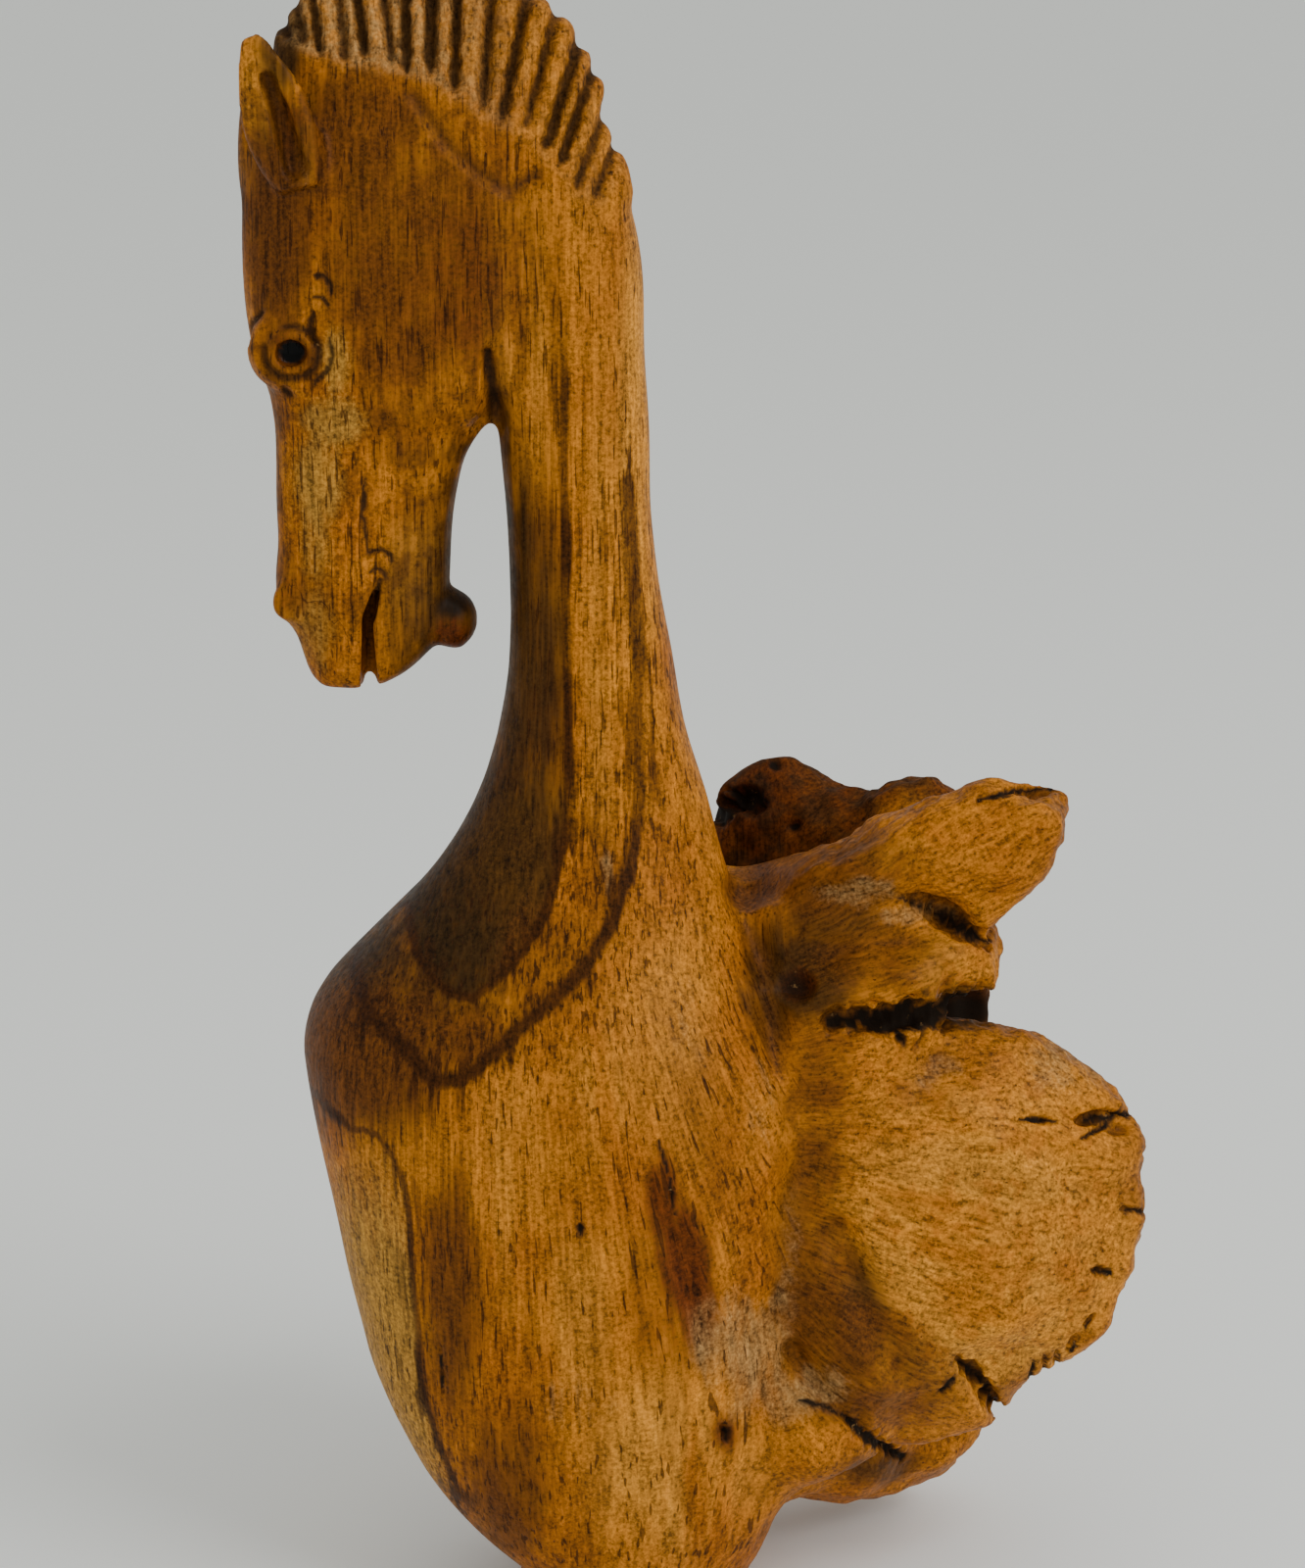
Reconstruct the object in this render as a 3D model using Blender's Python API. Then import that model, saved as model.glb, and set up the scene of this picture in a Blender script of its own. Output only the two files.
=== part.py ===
"""A horse's head and long neck carved from one block of burled wood.

The block stands on its own underside. The horse looks along -X, +Z is up, and the
origin lies on the flat foot, under the trunk. The burl opens like a flower at the back.

A carver works from the height of the block, so every size of the figure is a share of it:
the numbers below are in units of which FIGURE_UNITS make the height.
"""

import math

import bmesh
import bpy
import numpy as np
from mathutils import Vector

FIGURE_HEIGHT = 0.168  # metres, floor to the top of the mane
FIGURE_UNITS = 168.0
UNIT = FIGURE_HEIGHT / FIGURE_UNITS

# The block
FOOT_FRONT = 11.5  # from the origin to the edges of the flat foot
FOOT_BACK = 9.0
FOOT_WIDTH = 27.0
GRAIN_STEP = 0.65  # size of the cells that the pieces of the block are merged in
EVEN_RUB = (0.55, -0.57)  # in and back out, so that rubbing down doesn't thin the wood
SAW_MERGE = 0.01  # corners this near to the saw's cut lie on it
TRIANGLES = 9600

# Face. Places are given along the face and up, bands of two numbers are distances out from
# the middle of the figure, from where a cut starts to where it is whole
EYE_AT = (-34.7, 132.2)
EYE_SIDE = 5.0
EYE_BAND = (3.0, 4.5)
EYE_ROUNDNESS = 1.1
BROW_RADII = (4.8, 4.1, 4.8)
PUPIL_RADIUS = 1.7
PUPIL_DEPTH = 1.3
LID_RADIUS = 2.9
LID_WIDTH = 0.75
LID_DEPTH = 0.5
NOSTRIL_AT = (-35.6, 107.0)
NOSTRIL_RADIUS = 1.1
NOSTRIL_DEPTH = 0.9
NOSTRIL_BAND = (1.2, 2.2)
FACE_BAND = (2.0, 4.0)
# Grooves of the face: start, end, half width, depth
FACE_GROOVES = (
    ((-15.3, 132.0), (-15.1, 123.0), 1.5, 0.9),
    ((-26.5, 123.6), (-16.5, 123.8), 2.0, 0.5),
    ((-28.0, 129.0), (-27.4, 112.0), 1.1, 0.35),
)
MOUTH_TOP = (-26.9, 109.0)
MOUTH_BOTTOM = (-27.9, 96.0)
MOUTH_WIDTH = 1.5
MOUTH_WEB = 1.6  # wood left in the middle of the mouth, between the cuts of both sides
MOUTH_NOTCH_DEPTH = 1.6
MOUTH_BEND = 104.4
MOUTH_POINT = 0.25
BLADE_REACH = 9.0
LIP_HEIGHT = 97.4
CHIN_AT = (-19.6, 104.2)

# Mane
# Gouge cuts of the mane, from its edge down to its foot
MANE_CUTS = (
    ((-36.3, 165.8), (-34.5, 161.8)), ((-34.5, 166.8), (-33.0, 161.0)), ((-32.5, 167.1), (-31.5, 160.0)),
    ((-29.9, 166.8), (-29.0, 159.3)), ((-28.2, 167.4), (-27.1, 159.8)), ((-25.7, 167.9), (-24.4, 159.0)),
    ((-23.4, 166.8), (-23.2, 158.3)), ((-20.8, 167.6), (-21.0, 158.0)), ((-18.3, 166.8), (-18.6, 156.2)),
    ((-15.1, 165.1), (-15.9, 154.4)), ((-11.8, 165.3), (-14.3, 153.2)), ((-9.1, 163.6), (-12.1, 152.6)),
    ((-6.9, 160.8), (-10.1, 150.7)), ((-5.2, 159.0), (-8.9, 149.2)), ((-3.7, 155.9), (-7.4, 146.8)),
    ((-2.5, 153.4), (-5.4, 146.2)),
)
MANE_CUT_DEPTH = 1.1
MANE_CUT_WIDTH = 1.0  # half of it
MANE_CUT_OVERRUN = 0.4  # share of its length that a cut runs on over the mane's edge
MANE_CUT_FOOT = 0.3  # share of its length over which a cut runs out

# Ears
EAR_FOOT = (-33.6, 6.6, 148.6)
EAR_TIP = (-38.0, 8.6, 163.0)
FAR_EAR_DROP = 3.0  # the far ear is this much shorter
EAR_WIDTH = 7.4
EAR_THICKNESS = 4.2
EAR_HOLLOW = ((-33.4, 150.6), (-36.6, 160.0))
EAR_HOLLOW_WIDTH = 1.5
EAR_HOLLOW_DEPTH = 1.5
EAR_BAND = (7.0, 8.2)

# Where the head, the burl and the knobs on its far rim start, as bands of height and of distance
HEAD_BAND = (92.0, 100.0)
BURL_FROM = (6.0, 14.0)  # back from the middle, and out on the far side
BURL_FADE = 8.0
VALLEY = (6.0, 10.0, 17.0, 22.0)  # between trunk and burl, where it starts, is deepest and ends
VALLEY_SIDE = (2.0, 6.0)
SPUR_ALONG = (2.0, 6.0, 20.0, 26.0)  # the root-like spur under the burl, in the same way
SPUR_HEIGHT = (27.0, 33.0)
KNOB_SIDE = (5.0, 10.0)
KNOB_HEIGHT = (58.0, 66.0)

# Level cuts through trunk and neck: height, front, back, half of the depth, squareness
NECK_CUTS = (
    (-3.0, -9.0, 6.5, 11.0, 2.25),
    (0.0, -FOOT_FRONT, FOOT_BACK, FOOT_WIDTH / 2, 2.25),
    (4.0, -14.5, 12.2, 15.0, 2.25),
    (9.0, -19.6, 14.5, 17.0, 2.25),
    (16.0, -24.6, 15.5, 18.6, 2.25),
    (25.0, -28.8, 16.5, 20.2, 2.25),
    (36.0, -31.2, 17.0, 21.3, 2.25),
    (47.0, -33.3, 17.0, 22.0, 2.25),
    (56.0, -35.0, 16.5, 21.6, 2.25),
    (61.0, -35.3, 15.5, 20.6, 2.25),
    (65.5, -33.4, 13.6, 18.8, 2.25),
    (71.0, -28.6, 11.2, 16.0, 2.25),
    (77.5, -22.4, 8.6, 12.8, 2.25),
    (84.5, -18.0, 6.4, 10.2, 2.25),
    (91.5, -15.4, 4.4, 8.7, 2.25),
    (99.0, -14.0, 2.9, 7.8, 2.25),
    (107.0, -13.7, 1.5, 7.2, 2.25),
    (116.0, -14.2, 0.6, 7.0, 2.25),
    (125.0, -15.0, 0.2, 7.1, 2.25),
    (134.0, -16.0, -0.3, 7.2, 2.25),
    (142.0, -17.0, -0.9, 7.0, 2.25),
    (148.0, -18.0, -1.9, 6.4, 2.25),
    (153.0, -19.0, -3.4, 5.4, 2.25),
    (157.5, -20.0, -5.4, 4.2, 2.25),
)

# Level cuts through the head, nose down, and through the mane's crest above it
HEAD_CUTS = (
    (LIP_HEIGHT, -32.4, -27.2, 2.4, 2.5),
    (98.6, -33.8, -24.8, 3.6, 2.5),
    (100.6, -34.5, -22.4, 4.4, 2.5),
    (103.0, -35.4, -20.6, 4.9, 2.5),
    (105.5, -37.0, -20.0, 5.1, 2.5),
    (108.5, -37.4, -19.9, 5.1, 2.5),
    (112.5, -37.0, -19.6, 4.9, 2.5),
    (117.0, -37.0, -19.0, 5.1, 2.5),
    (121.0, -37.1, -17.9, 5.7, 2.5),
    (124.5, -37.3, -15.6, 6.7, 2.5),
    (128.0, -37.8, -12.0, 7.8, 2.5),
    (132.5, -39.2, -9.0, 8.1, 2.5),
    (138.0, -39.9, -7.0, 8.0, 2.5),
    (144.0, -40.0, -6.0, 7.8, 2.5),
    (150.0, -39.7, -6.0, 7.3, 2.5),
    (154.0, -38.8, -6.0, 6.6, 2.8),
    (157.5, -37.6, -4.4, 5.7, 3.2),
    (161.0, -36.6, -6.0, 4.7, 3.8),
    (164.5, -35.2, -8.6, 3.8, 3.8),
    (166.8, -33.2, -12.5, 3.0, 3.8),
    (168.4, -30.5, -18.3, 1.8, 3.8),
)

# Rounded lumps: place, radii
LUMPS = (
    ((CHIN_AT[0], 0.0, CHIN_AT[1]), (2.4, 3.2, 2.9)),
    ((-38.9, 0.0, 150.5), (1.3, 2.6, 7.6)),
    ((-35.3, 2.9, 106.8), (2.2, 2.2, 2.4)),
    ((-35.3, -2.9, 106.8), (2.2, 2.2, 2.4)),
    ((EYE_AT[0] + 0.1, EYE_SIDE - 1.2, EYE_AT[1]), BROW_RADII),
    ((EYE_AT[0] + 0.1, 1.2 - EYE_SIDE, EYE_AT[1]), BROW_RADII),
    ((14.0, 7.0, 49.0), (15.0, 17.0, 26.0)),
    ((18.5, -1.5, 60.0), (12.0, 9.0, 13.0)),
    ((14.0, 20.5, 73.5), (8.3, 6.6, 12.2)),
    ((20.5, 18.0, 72.0), (7.6, 6.4, 11.2)),
    ((28.5, 13.5, 74.8), (8.2, 5.8, 10.6)),
    ((22.5, -5.0, 31.0), (10.0, 8.5, 10.5)),
    ((14.0, -3.5, 21.0), (13.0, 10.5, 8.5)),
    ((10.0, 6.0, 16.5), (14.0, 13.0, 11.0)),
    ((18.5, 12.0, 13.5), (12.5, 12.0, 9.0)),
    ((25.5, 17.0, 11.3), (11.5, 11.0, 8.5)),
)

# The burl's petals: root, way out, way across, reach, half angle, skew, fall of the lower and of the
# upper corner, rise, droop, thickness at the root and at the rim
PETALS = (
    ((3.0, -2.0, 71.5), (0.95, -0.15, 0.12), (-0.22, -0.2, 0.93), 35.6, 21.0, 0.40, (0.3, 0.46),
     2.5, 2.0, 16.0, 8.0),
    ((4.0, -5.0, 67.0), (0.98, -0.15, 0.03), (-0.05, -0.1, 0.98), 31.2, 13.0, 0.0, (0.3, 0.3),
     4.5, 4.0, 15.0, 9.0),
    ((10.0, -7.0, 46.5), (0.94, 0.0, -0.36), (0.36, 0.04, 0.94), 41.4, 60.0, 0.06, (0.52, 0.49),
     6.5, 4.0, 15.0, 7.0),
    ((4.0, 10.0, 46.0), (0.80, 0.60, -0.08), (0.05, 0.05, -1.0), 35.0, 62.0, -0.1, (0.25, 0.25), 6.0, 5.0, 17.0, 7.0),
    ((-2.0, 10.0, 56.0), (0.15, 0.90, 0.34), (-1.0, 0.2, 0.0), 25.0, 46.0, 0.1, (0.2, 0.2), 4.0, 5.0, 17.0, 8.0),
)
CORNER_POWER = 3.0
SHORTEST_RAY = 0.25
# Clefts between the petals and splits in their rims, in the side view: start, end, half width, depth
BURL_CLEFTS = (
    ((18.3, 64.0), (34.8, 65.2), 1.5, 2.2),
    ((27.5, 76.0), (35.0, 72.0), 0.9, 1.2),
    ((33.4, 86.6), (42.5, 88.2), 0.8, 1.0),
    ((44.0, 53.0), (49.5, 51.2), 0.9, 1.6),
    ((32.9, 26.9), (37.0, 19.5), 0.9, 1.8),
)
SWELL_SIZE = 0.45
SWELL_LENGTHS = (11.0, 13.0, 10.0)  # along, across and up
RIM_WAVES = ((6.5, 0.5, 0.025), (12.0, 2.1, 0.014), (21.0, 4.0, 0.008))  # turns, start, share of the reach


def through(rows, count):
    """A smooth run of rows that passes through the given ones."""
    rows = np.array(rows, float)
    slopes = np.gradient(rows, axis=0)
    place = np.linspace(0.0, len(rows) - 1.0, count)
    low = np.minimum(place.astype(int), len(rows) - 2)
    part = (place - low)[:, None]
    start = rows[low] * (1 + 2 * part) * (1 - part) ** 2 + slopes[low] * part * (1 - part) ** 2
    end = rows[low + 1] * part * part * (3 - 2 * part) - slopes[low + 1] * part * part * (1 - part)
    return start + end


def unit(vector):
    vector = np.array(vector, float)
    return vector / np.linalg.norm(vector)


def add_tube(form, rings):
    """Join rings of points by quads, and give back the corners, ring by ring."""
    rows = [[form.verts.new(Vector(point)) for point in ring] for ring in rings]
    for low, high in zip(rows, rows[1:]):
        for here in range(len(low)):
            after = (here + 1) % len(low)
            form.faces.new((low[here], low[after], high[after], high[here]))
    return rows


def add_solid(form, rings):
    """A tube of rings with a fan over each end."""
    rows = add_tube(form, rings)
    for ring, turned in ((rows[0], True), (rows[-1], False)):
        middle = form.verts.new(sum((vert.co for vert in ring), Vector()) / len(ring))
        for here in range(len(ring)):
            pair = (ring[here], ring[(here + 1) % len(ring)])
            form.faces.new((middle, *(reversed(pair) if turned else pair)))


def level_rings(cuts, steps=90, points=48):
    """Rounded level outlines. A higher squareness fills the outline's corners."""
    rings = []
    turn = np.linspace(0.0, 2 * math.pi, points, endpoint=False)
    for height, front, back, half_depth, squareness in through(cuts, steps):
        across = np.sign(np.cos(turn)) * np.abs(np.cos(turn)) ** (2.0 / squareness)
        aside = np.sign(np.sin(turn)) * np.abs(np.sin(turn)) ** (2.0 / squareness)
        middle, half_length = (front + back) / 2, (back - front) / 2
        rings.append([(middle + half_length * a, half_depth * b, height) for a, b in zip(across, aside)])
    return rings


def add_lump(form, place, radii, rows=14, points=24):
    """A rounded lump."""
    rings = []
    for row in range(1, rows):
        polar = math.pi * row / rows
        width = math.sin(polar)
        rings.append([
            (place[0] + radii[0] * width * math.cos(2 * math.pi * point / points),
             place[1] + radii[1] * width * math.sin(2 * math.pi * point / points),
             place[2] - radii[2] * math.cos(polar))
            for point in range(points)])
    add_solid(form, rings)


def add_petal(
        form, root, outward, across, reach, half_angle, skew, corners, rise, droop, thick_root, thick_rim):
    """One petal of the burl: a fan from its root, crowned on its outer face, with a blunt rim."""
    outward = unit(outward)
    across = unit(np.array(across) - outward * np.dot(across, outward))
    face = np.cross(outward, across)
    rings = []
    steps, points = 16, 60
    for step in range(steps + 1):
        share = 0.03 + 0.97 * step / steps
        outer, inner = [], []
        for point in range(points + 1):
            side = 2.0 * point / points - 1.0
            angle = math.radians(half_angle) * side
            wave = sum(size * math.sin(turns * angle + start) for turns, start, size in RIM_WAVES)
            fall = corners[int(side > 0)] * abs(side) ** CORNER_POWER
            length = reach * share * max(1 + skew * side - fall + wave, SHORTEST_RAY)
            on_plane = (outward * math.cos(angle) + across * math.sin(angle)) * length
            lift = rise * math.sin(math.pi * share ** 0.9) * (1 - 0.6 * side * side) - droop * share ** 3
            thickness = (thick_root + (thick_rim - thick_root) * share) * (1 - 0.45 * abs(side) ** 4)
            top = np.array(root) + on_plane + face * lift
            outer.append(top)
            inner.append(top - face * thickness)
        rings.append(outer + inner[::-1])
    rows = add_tube(form, rings)
    for ring in (rows[0], rows[-1]):
        for here in range(points):
            form.faces.new((ring[here], ring[here + 1], ring[-2 - here], ring[-1 - here]))


def add_ear(form, side):
    """A leaf-shaped ear, laid against the side of the head."""
    foot = np.array((EAR_FOOT[0], side * EAR_FOOT[1], EAR_FOOT[2]))
    tip = np.array((EAR_TIP[0], side * EAR_TIP[1], EAR_TIP[2] - (FAR_EAR_DROP if side > 0 else 0.0)))
    along = unit(tip - foot)
    outward = unit(np.array((-0.25, side, 0.0)) - along * np.dot((-0.25, side, 0.0), along))
    across = np.cross(along, outward)
    rings = []
    for share in np.linspace(0.0, 1.0, 16):
        width = EAR_WIDTH / 2 * (0.16 + 0.84 * math.sin(math.pi * min(1.0, 0.18 + 0.80 * share)) ** 0.8)
        depth = EAR_THICKNESS / 2 * (1.0 - 0.65 * share)
        middle = foot + (tip - foot) * share
        rings.append([
            middle + across * width * math.cos(turn) + outward * depth * math.sin(turn)
            for turn in np.linspace(0.0, 2 * math.pi, 20, endpoint=False)])
    add_solid(form, rings)


def rough_block():
    """Everything that makes up the block, overlapping, before it is merged."""
    form = bmesh.new()
    add_solid(form, level_rings(NECK_CUTS))
    add_solid(form, level_rings(HEAD_CUTS))
    for place, radii in LUMPS:
        add_lump(form, place, radii)
    for petal in PETALS:
        add_petal(form, *petal)
    for side in (-1, 1):
        add_ear(form, side)
    bmesh.ops.recalc_face_normals(form, faces=form.faces)
    mesh = bpy.data.meshes.new("rough_block")
    form.to_mesh(mesh)
    form.free()
    return mesh


def with_modifier(mesh, kind, **settings):
    """The mesh as one modifier leaves it."""
    thing = bpy.data.objects.new("work", mesh)
    bpy.context.scene.collection.objects.link(thing)
    modifier = thing.modifiers.new(kind, kind)
    for name, value in settings.items():
        setattr(modifier, name, value)
    bpy.context.view_layer.update()
    graph = bpy.context.evaluated_depsgraph_get()
    result = bpy.data.meshes.new_from_object(thing.evaluated_get(graph))
    bpy.data.objects.remove(thing)
    return result


def main_body(mesh):
    """Drop the small closed bubbles that merging leaves inside the wood."""
    form = bmesh.new()
    form.from_mesh(mesh)
    unseen = set(form.verts)
    bodies = []
    while unseen:
        edge_of_body = [unseen.pop()]
        body = list(edge_of_body)
        while edge_of_body:
            vert = edge_of_body.pop()
            for edge in vert.link_edges:
                other = edge.other_vert(vert)
                if other in unseen:
                    unseen.remove(other)
                    edge_of_body.append(other)
                    body.append(other)
        bodies.append(body)
    bodies.sort(key=len)
    for body in bodies[:-1]:
        bmesh.ops.delete(form, geom=body, context="VERTS")
    form.to_mesh(mesh)
    form.free()


def places_of(mesh):
    flat = np.empty(len(mesh.vertices) * 3)
    mesh.vertices.foreach_get("co", flat)
    return flat.reshape(-1, 3)


def normals_of(mesh):
    flat = np.empty(len(mesh.vertices) * 3, np.float32)
    mesh.vertex_normals.foreach_get("vector", flat)
    return flat.reshape(-1, 3).astype(float)


def put_places(mesh, places):
    mesh.vertices.foreach_set("co", places.ravel())
    mesh.update()


def rub_down(mesh, strength, rounds, shares):
    """Each vertex goes part of the way to the middle of its neighbours, or back from it."""
    pairs = np.empty(len(mesh.edges) * 2, np.int32)
    mesh.edges.foreach_get("vertices", pairs)
    pairs = pairs.reshape(-1, 2)
    ends = np.concatenate((pairs[:, 0], pairs[:, 1]))
    others = np.concatenate((pairs[:, 1], pairs[:, 0]))
    places = places_of(mesh)
    count = len(places)
    neighbours = np.maximum(np.bincount(ends, minlength=count), 1)[:, None]
    for _ in range(rounds):
        for share in shares:
            middle = np.column_stack([
                np.bincount(ends, places[others, axis], minlength=count) for axis in range(3)]) / neighbours
            places = places + (middle - places) * share * strength[:, None]
    put_places(mesh, places)


def fade(value, low, high):
    """0 below low, 1 above high, smooth between."""
    part = np.clip((value - low) / (high - low), 0.0, 1.0)
    return part * part * (3 - 2 * part)


def near_line(x, z, start, end):
    """Distance to a straight line between two points of the side view, and the share along it."""
    run = np.array(end) - np.array(start)
    share = np.clip(((x - start[0]) * run[0] + (z - start[1]) * run[1]) / np.dot(run, run), 0.0, 1.0)
    return np.hypot(x - start[0] - run[0] * share, z - start[1] - run[1] * share), share


def groove(distance, half_width):
    """1 in the middle of a V-shaped cut, 0 from its edge outwards."""
    return np.clip(1.0 - distance / half_width, 0.0, 1.0)


def mane_cuts(places):
    """Depth of the mane's cuts, which fan out from below and run out at its foot."""
    x, z = places[:, 0], places[:, 2]
    cut = np.zeros(len(x))
    for top, foot in MANE_CUTS:
        start = np.array(top) + (np.array(top) - np.array(foot)) * MANE_CUT_OVERRUN
        distance, share = near_line(x, z, start, foot)
        cut = np.maximum(cut, groove(distance, MANE_CUT_WIDTH) ** 0.8 * fade(1.0 - share, 0.0, MANE_CUT_FOOT))
    return cut * MANE_CUT_DEPTH


def carve(mesh):
    """The carving that shows from a step away, cut along the surface's own direction."""
    places, normals = places_of(mesh), normals_of(mesh)
    x, y, z = places.T
    side = np.abs(y)
    depth = mane_cuts(places)
    from_eye = np.hypot(x - EYE_AT[0], (z - EYE_AT[1]) * EYE_ROUNDNESS)
    ring = groove(np.abs(from_eye - LID_RADIUS), LID_WIDTH)
    pupil = fade(PUPIL_RADIUS - from_eye, -0.3, 0.5)
    depth += (ring * LID_DEPTH + pupil * PUPIL_DEPTH) * fade(side, *EYE_BAND)
    from_nostril = np.hypot(x - NOSTRIL_AT[0], (z - NOSTRIL_AT[1]) * 0.8)
    depth += fade(NOSTRIL_RADIUS - from_nostril, -0.7, 0.6) * NOSTRIL_DEPTH * fade(side, *NOSTRIL_BAND)
    for start, end, width, deep in FACE_GROOVES:
        distance, _ = near_line(x, z, start, end)
        depth += groove(distance, width) * deep * fade(side, *FACE_BAND)
    hollow, share = near_line(x, z, *EAR_HOLLOW)
    outer_ear = fade(side, *EAR_BAND) * fade(normals[:, 1] * np.sign(y), 0.2, 0.6)
    depth += groove(hollow, EAR_HOLLOW_WIDTH) * EAR_HOLLOW_DEPTH * outer_ear * (1 - 0.5 * share)
    put_places(mesh, places - normals * depth[:, None])


def burl_swell(mesh, amount):
    """Low uneven swellings all over the burl."""
    places, normals = places_of(mesh), normals_of(mesh)
    along, across, up = (places[:, axis] * 2 * math.pi / SWELL_LENGTHS[axis] / 2 for axis in range(3))
    swell = np.sin(along + 1.3 * np.sin(up)) * np.sin(up + 0.9 * np.sin(across)) + 0.6 * np.sin(across + along)
    put_places(mesh, places + normals * (swell * SWELL_SIZE * amount)[:, None])


def burl_cuts(mesh):
    """The dark clefts between the burl's petals and the splits in their rims."""
    places, normals = places_of(mesh), normals_of(mesh)
    x, y, z = places.T
    outer = fade(-normals[:, 1], -0.2, 0.3) * fade(2.0 - y, 0.0, 3.0)
    depth = np.zeros(len(places))
    for start, end, width, deep in BURL_CLEFTS:
        distance, share = near_line(x, z, start, end)
        depth += groove(distance, width) ** 0.7 * deep * outer * (0.4 + 0.6 * share)
    put_places(mesh, places - normals * depth[:, None])


def level_foot(mesh):
    """Saw the underside flat at the floor, so that the block stands."""
    form = bmesh.new()
    form.from_mesh(mesh)
    everything = form.verts[:] + form.edges[:] + form.faces[:]
    cut = bmesh.ops.bisect_plane(
        form, geom=everything, dist=SAW_MERGE, plane_co=(0, 0, 0), plane_no=(0, 0, -1), clear_outer=True)
    edges = [item for item in cut["geom_cut"] if isinstance(item, bmesh.types.BMEdge)]
    bmesh.ops.holes_fill(form, edges=edges)
    bmesh.ops.triangulate(form, faces=form.faces)
    form.to_mesh(mesh)
    form.free()


def mouth_cutter():
    """A thin tapered blade that cuts the mouth from both sides and meets only under the lips."""
    wide = MOUTH_WIDTH / 2

    def outline(depth, top, bend):
        return [
            (MOUTH_BOTTOM[0] - wide * 1.2, depth, MOUTH_BOTTOM[1]),
            (MOUTH_BOTTOM[0] + wide * 1.2, depth, MOUTH_BOTTOM[1]),
            (MOUTH_BOTTOM[0] + wide * 0.8, depth, bend),
            (top[0] + MOUTH_POINT, depth, top[1]),
            (top[0] - MOUTH_POINT, depth, top[1]),
            (MOUTH_BOTTOM[0] - wide * 0.8, depth, bend + 1.0)]

    notch = (MOUTH_BOTTOM[0], LIP_HEIGHT + MOUTH_NOTCH_DEPTH)
    web = MOUTH_WEB / 2
    form = bmesh.new()
    add_solid(form, [
        outline(-BLADE_REACH, MOUTH_TOP, MOUTH_BEND), outline(-web, MOUTH_TOP, MOUTH_BEND),
        outline(-web * 0.8, notch, LIP_HEIGHT), outline(web * 0.8, notch, LIP_HEIGHT),
        outline(web, MOUTH_TOP, MOUTH_BEND), outline(BLADE_REACH, MOUTH_TOP, MOUTH_BEND)])
    bmesh.ops.recalc_face_normals(form, faces=form.faces)
    mesh = bpy.data.meshes.new("mouth_cutter")
    form.to_mesh(mesh)
    form.free()
    return mesh


def wood():
    """Oiled honey-brown wood."""
    material = bpy.data.materials.new("oiled_wood")
    material.use_nodes = True
    shader = material.node_tree.nodes["Principled BSDF"]
    shader.inputs["Base Color"].default_value = (0.42, 0.17, 0.035, 1.0)
    shader.inputs["Roughness"].default_value = 0.42
    shader.inputs["Metallic"].default_value = 0.0
    return material


def horse_figure():
    """Merge the block, rub it down, carve it, and bring it to the figure's height."""
    mesh = with_modifier(rough_block(), "REMESH", mode="VOXEL", voxel_size=GRAIN_STEP, adaptivity=0.0)
    main_body(mesh)
    x, y, z = places_of(mesh).T
    on_head = fade(z, *HEAD_BAND)
    on_burl = fade(np.maximum(x - BURL_FROM[0], y - BURL_FROM[1]), 0.0, BURL_FADE) * (1.0 - on_head)
    on_knobs = on_burl * fade(y, *KNOB_SIDE) * fade(z, *KNOB_HEIGHT)
    rub_down(mesh, np.ones(len(x)), 4, EVEN_RUB)
    rub_down(mesh, 1.0 - 0.9 * on_head, 14, EVEN_RUB)
    rub_down(mesh, on_burl, 14, (0.6,))
    rub_down(mesh, on_knobs, 30, (0.6,))
    in_valley = fade(x, *VALLEY[:2]) * (1.0 - fade(x, *VALLEY[2:])) * fade(-y, *VALLEY_SIDE) * (1.0 - on_head)
    rub_down(mesh, in_valley, 30, (0.6,))
    on_spur = fade(x, *SPUR_ALONG[:2]) * (1.0 - fade(x, *SPUR_ALONG[2:])) * (1.0 - fade(z, *SPUR_HEIGHT))
    rub_down(mesh, on_spur * fade(-y, *VALLEY_SIDE), 40, (0.6,))
    burl_swell(mesh, on_burl)
    carve(mesh)
    burl_cuts(mesh)
    mesh = with_modifier(mesh, "DECIMATE", ratio=TRIANGLES / (2.0 * len(mesh.polygons)))
    level_foot(mesh)
    return mesh


def main():
    for thing in list(bpy.data.objects):
        bpy.data.objects.remove(thing)
    mesh = horse_figure()
    cutter = bpy.data.objects.new("mouth_cutter", mouth_cutter())
    figure = bpy.data.objects.new("horse_figure", mesh)
    for thing in (figure, cutter):
        thing.data.transform(((UNIT, 0, 0, 0), (0, UNIT, 0, 0), (0, 0, UNIT, 0), (0, 0, 0, 1)))
        bpy.context.scene.collection.objects.link(thing)
    cutter.hide_render = True
    cutter.display_type = "WIRE"
    mouth = figure.modifiers.new("mouth", "BOOLEAN")
    mouth.operation = "DIFFERENCE"
    mouth.solver = "EXACT"
    mouth.object = cutter
    mesh.name = "horse_figure"
    mesh.materials.clear()
    mesh.materials.append(wood())
    for face in mesh.polygons:
        face.use_smooth = True


main()
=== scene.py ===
"""Looks of the carved horse figure: one block of oiled burl wood on a pale floor.

The carved figure keeps the form of the solid it stands for. Its surface is carved finer: the mane's
gouge cuts, the eye and lids, the ear, the lips, the cracks and pits of the burl. Places of the
carving are in millimetres in the side view, x along the figure and z up, as a carver marks them.
"""

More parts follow.
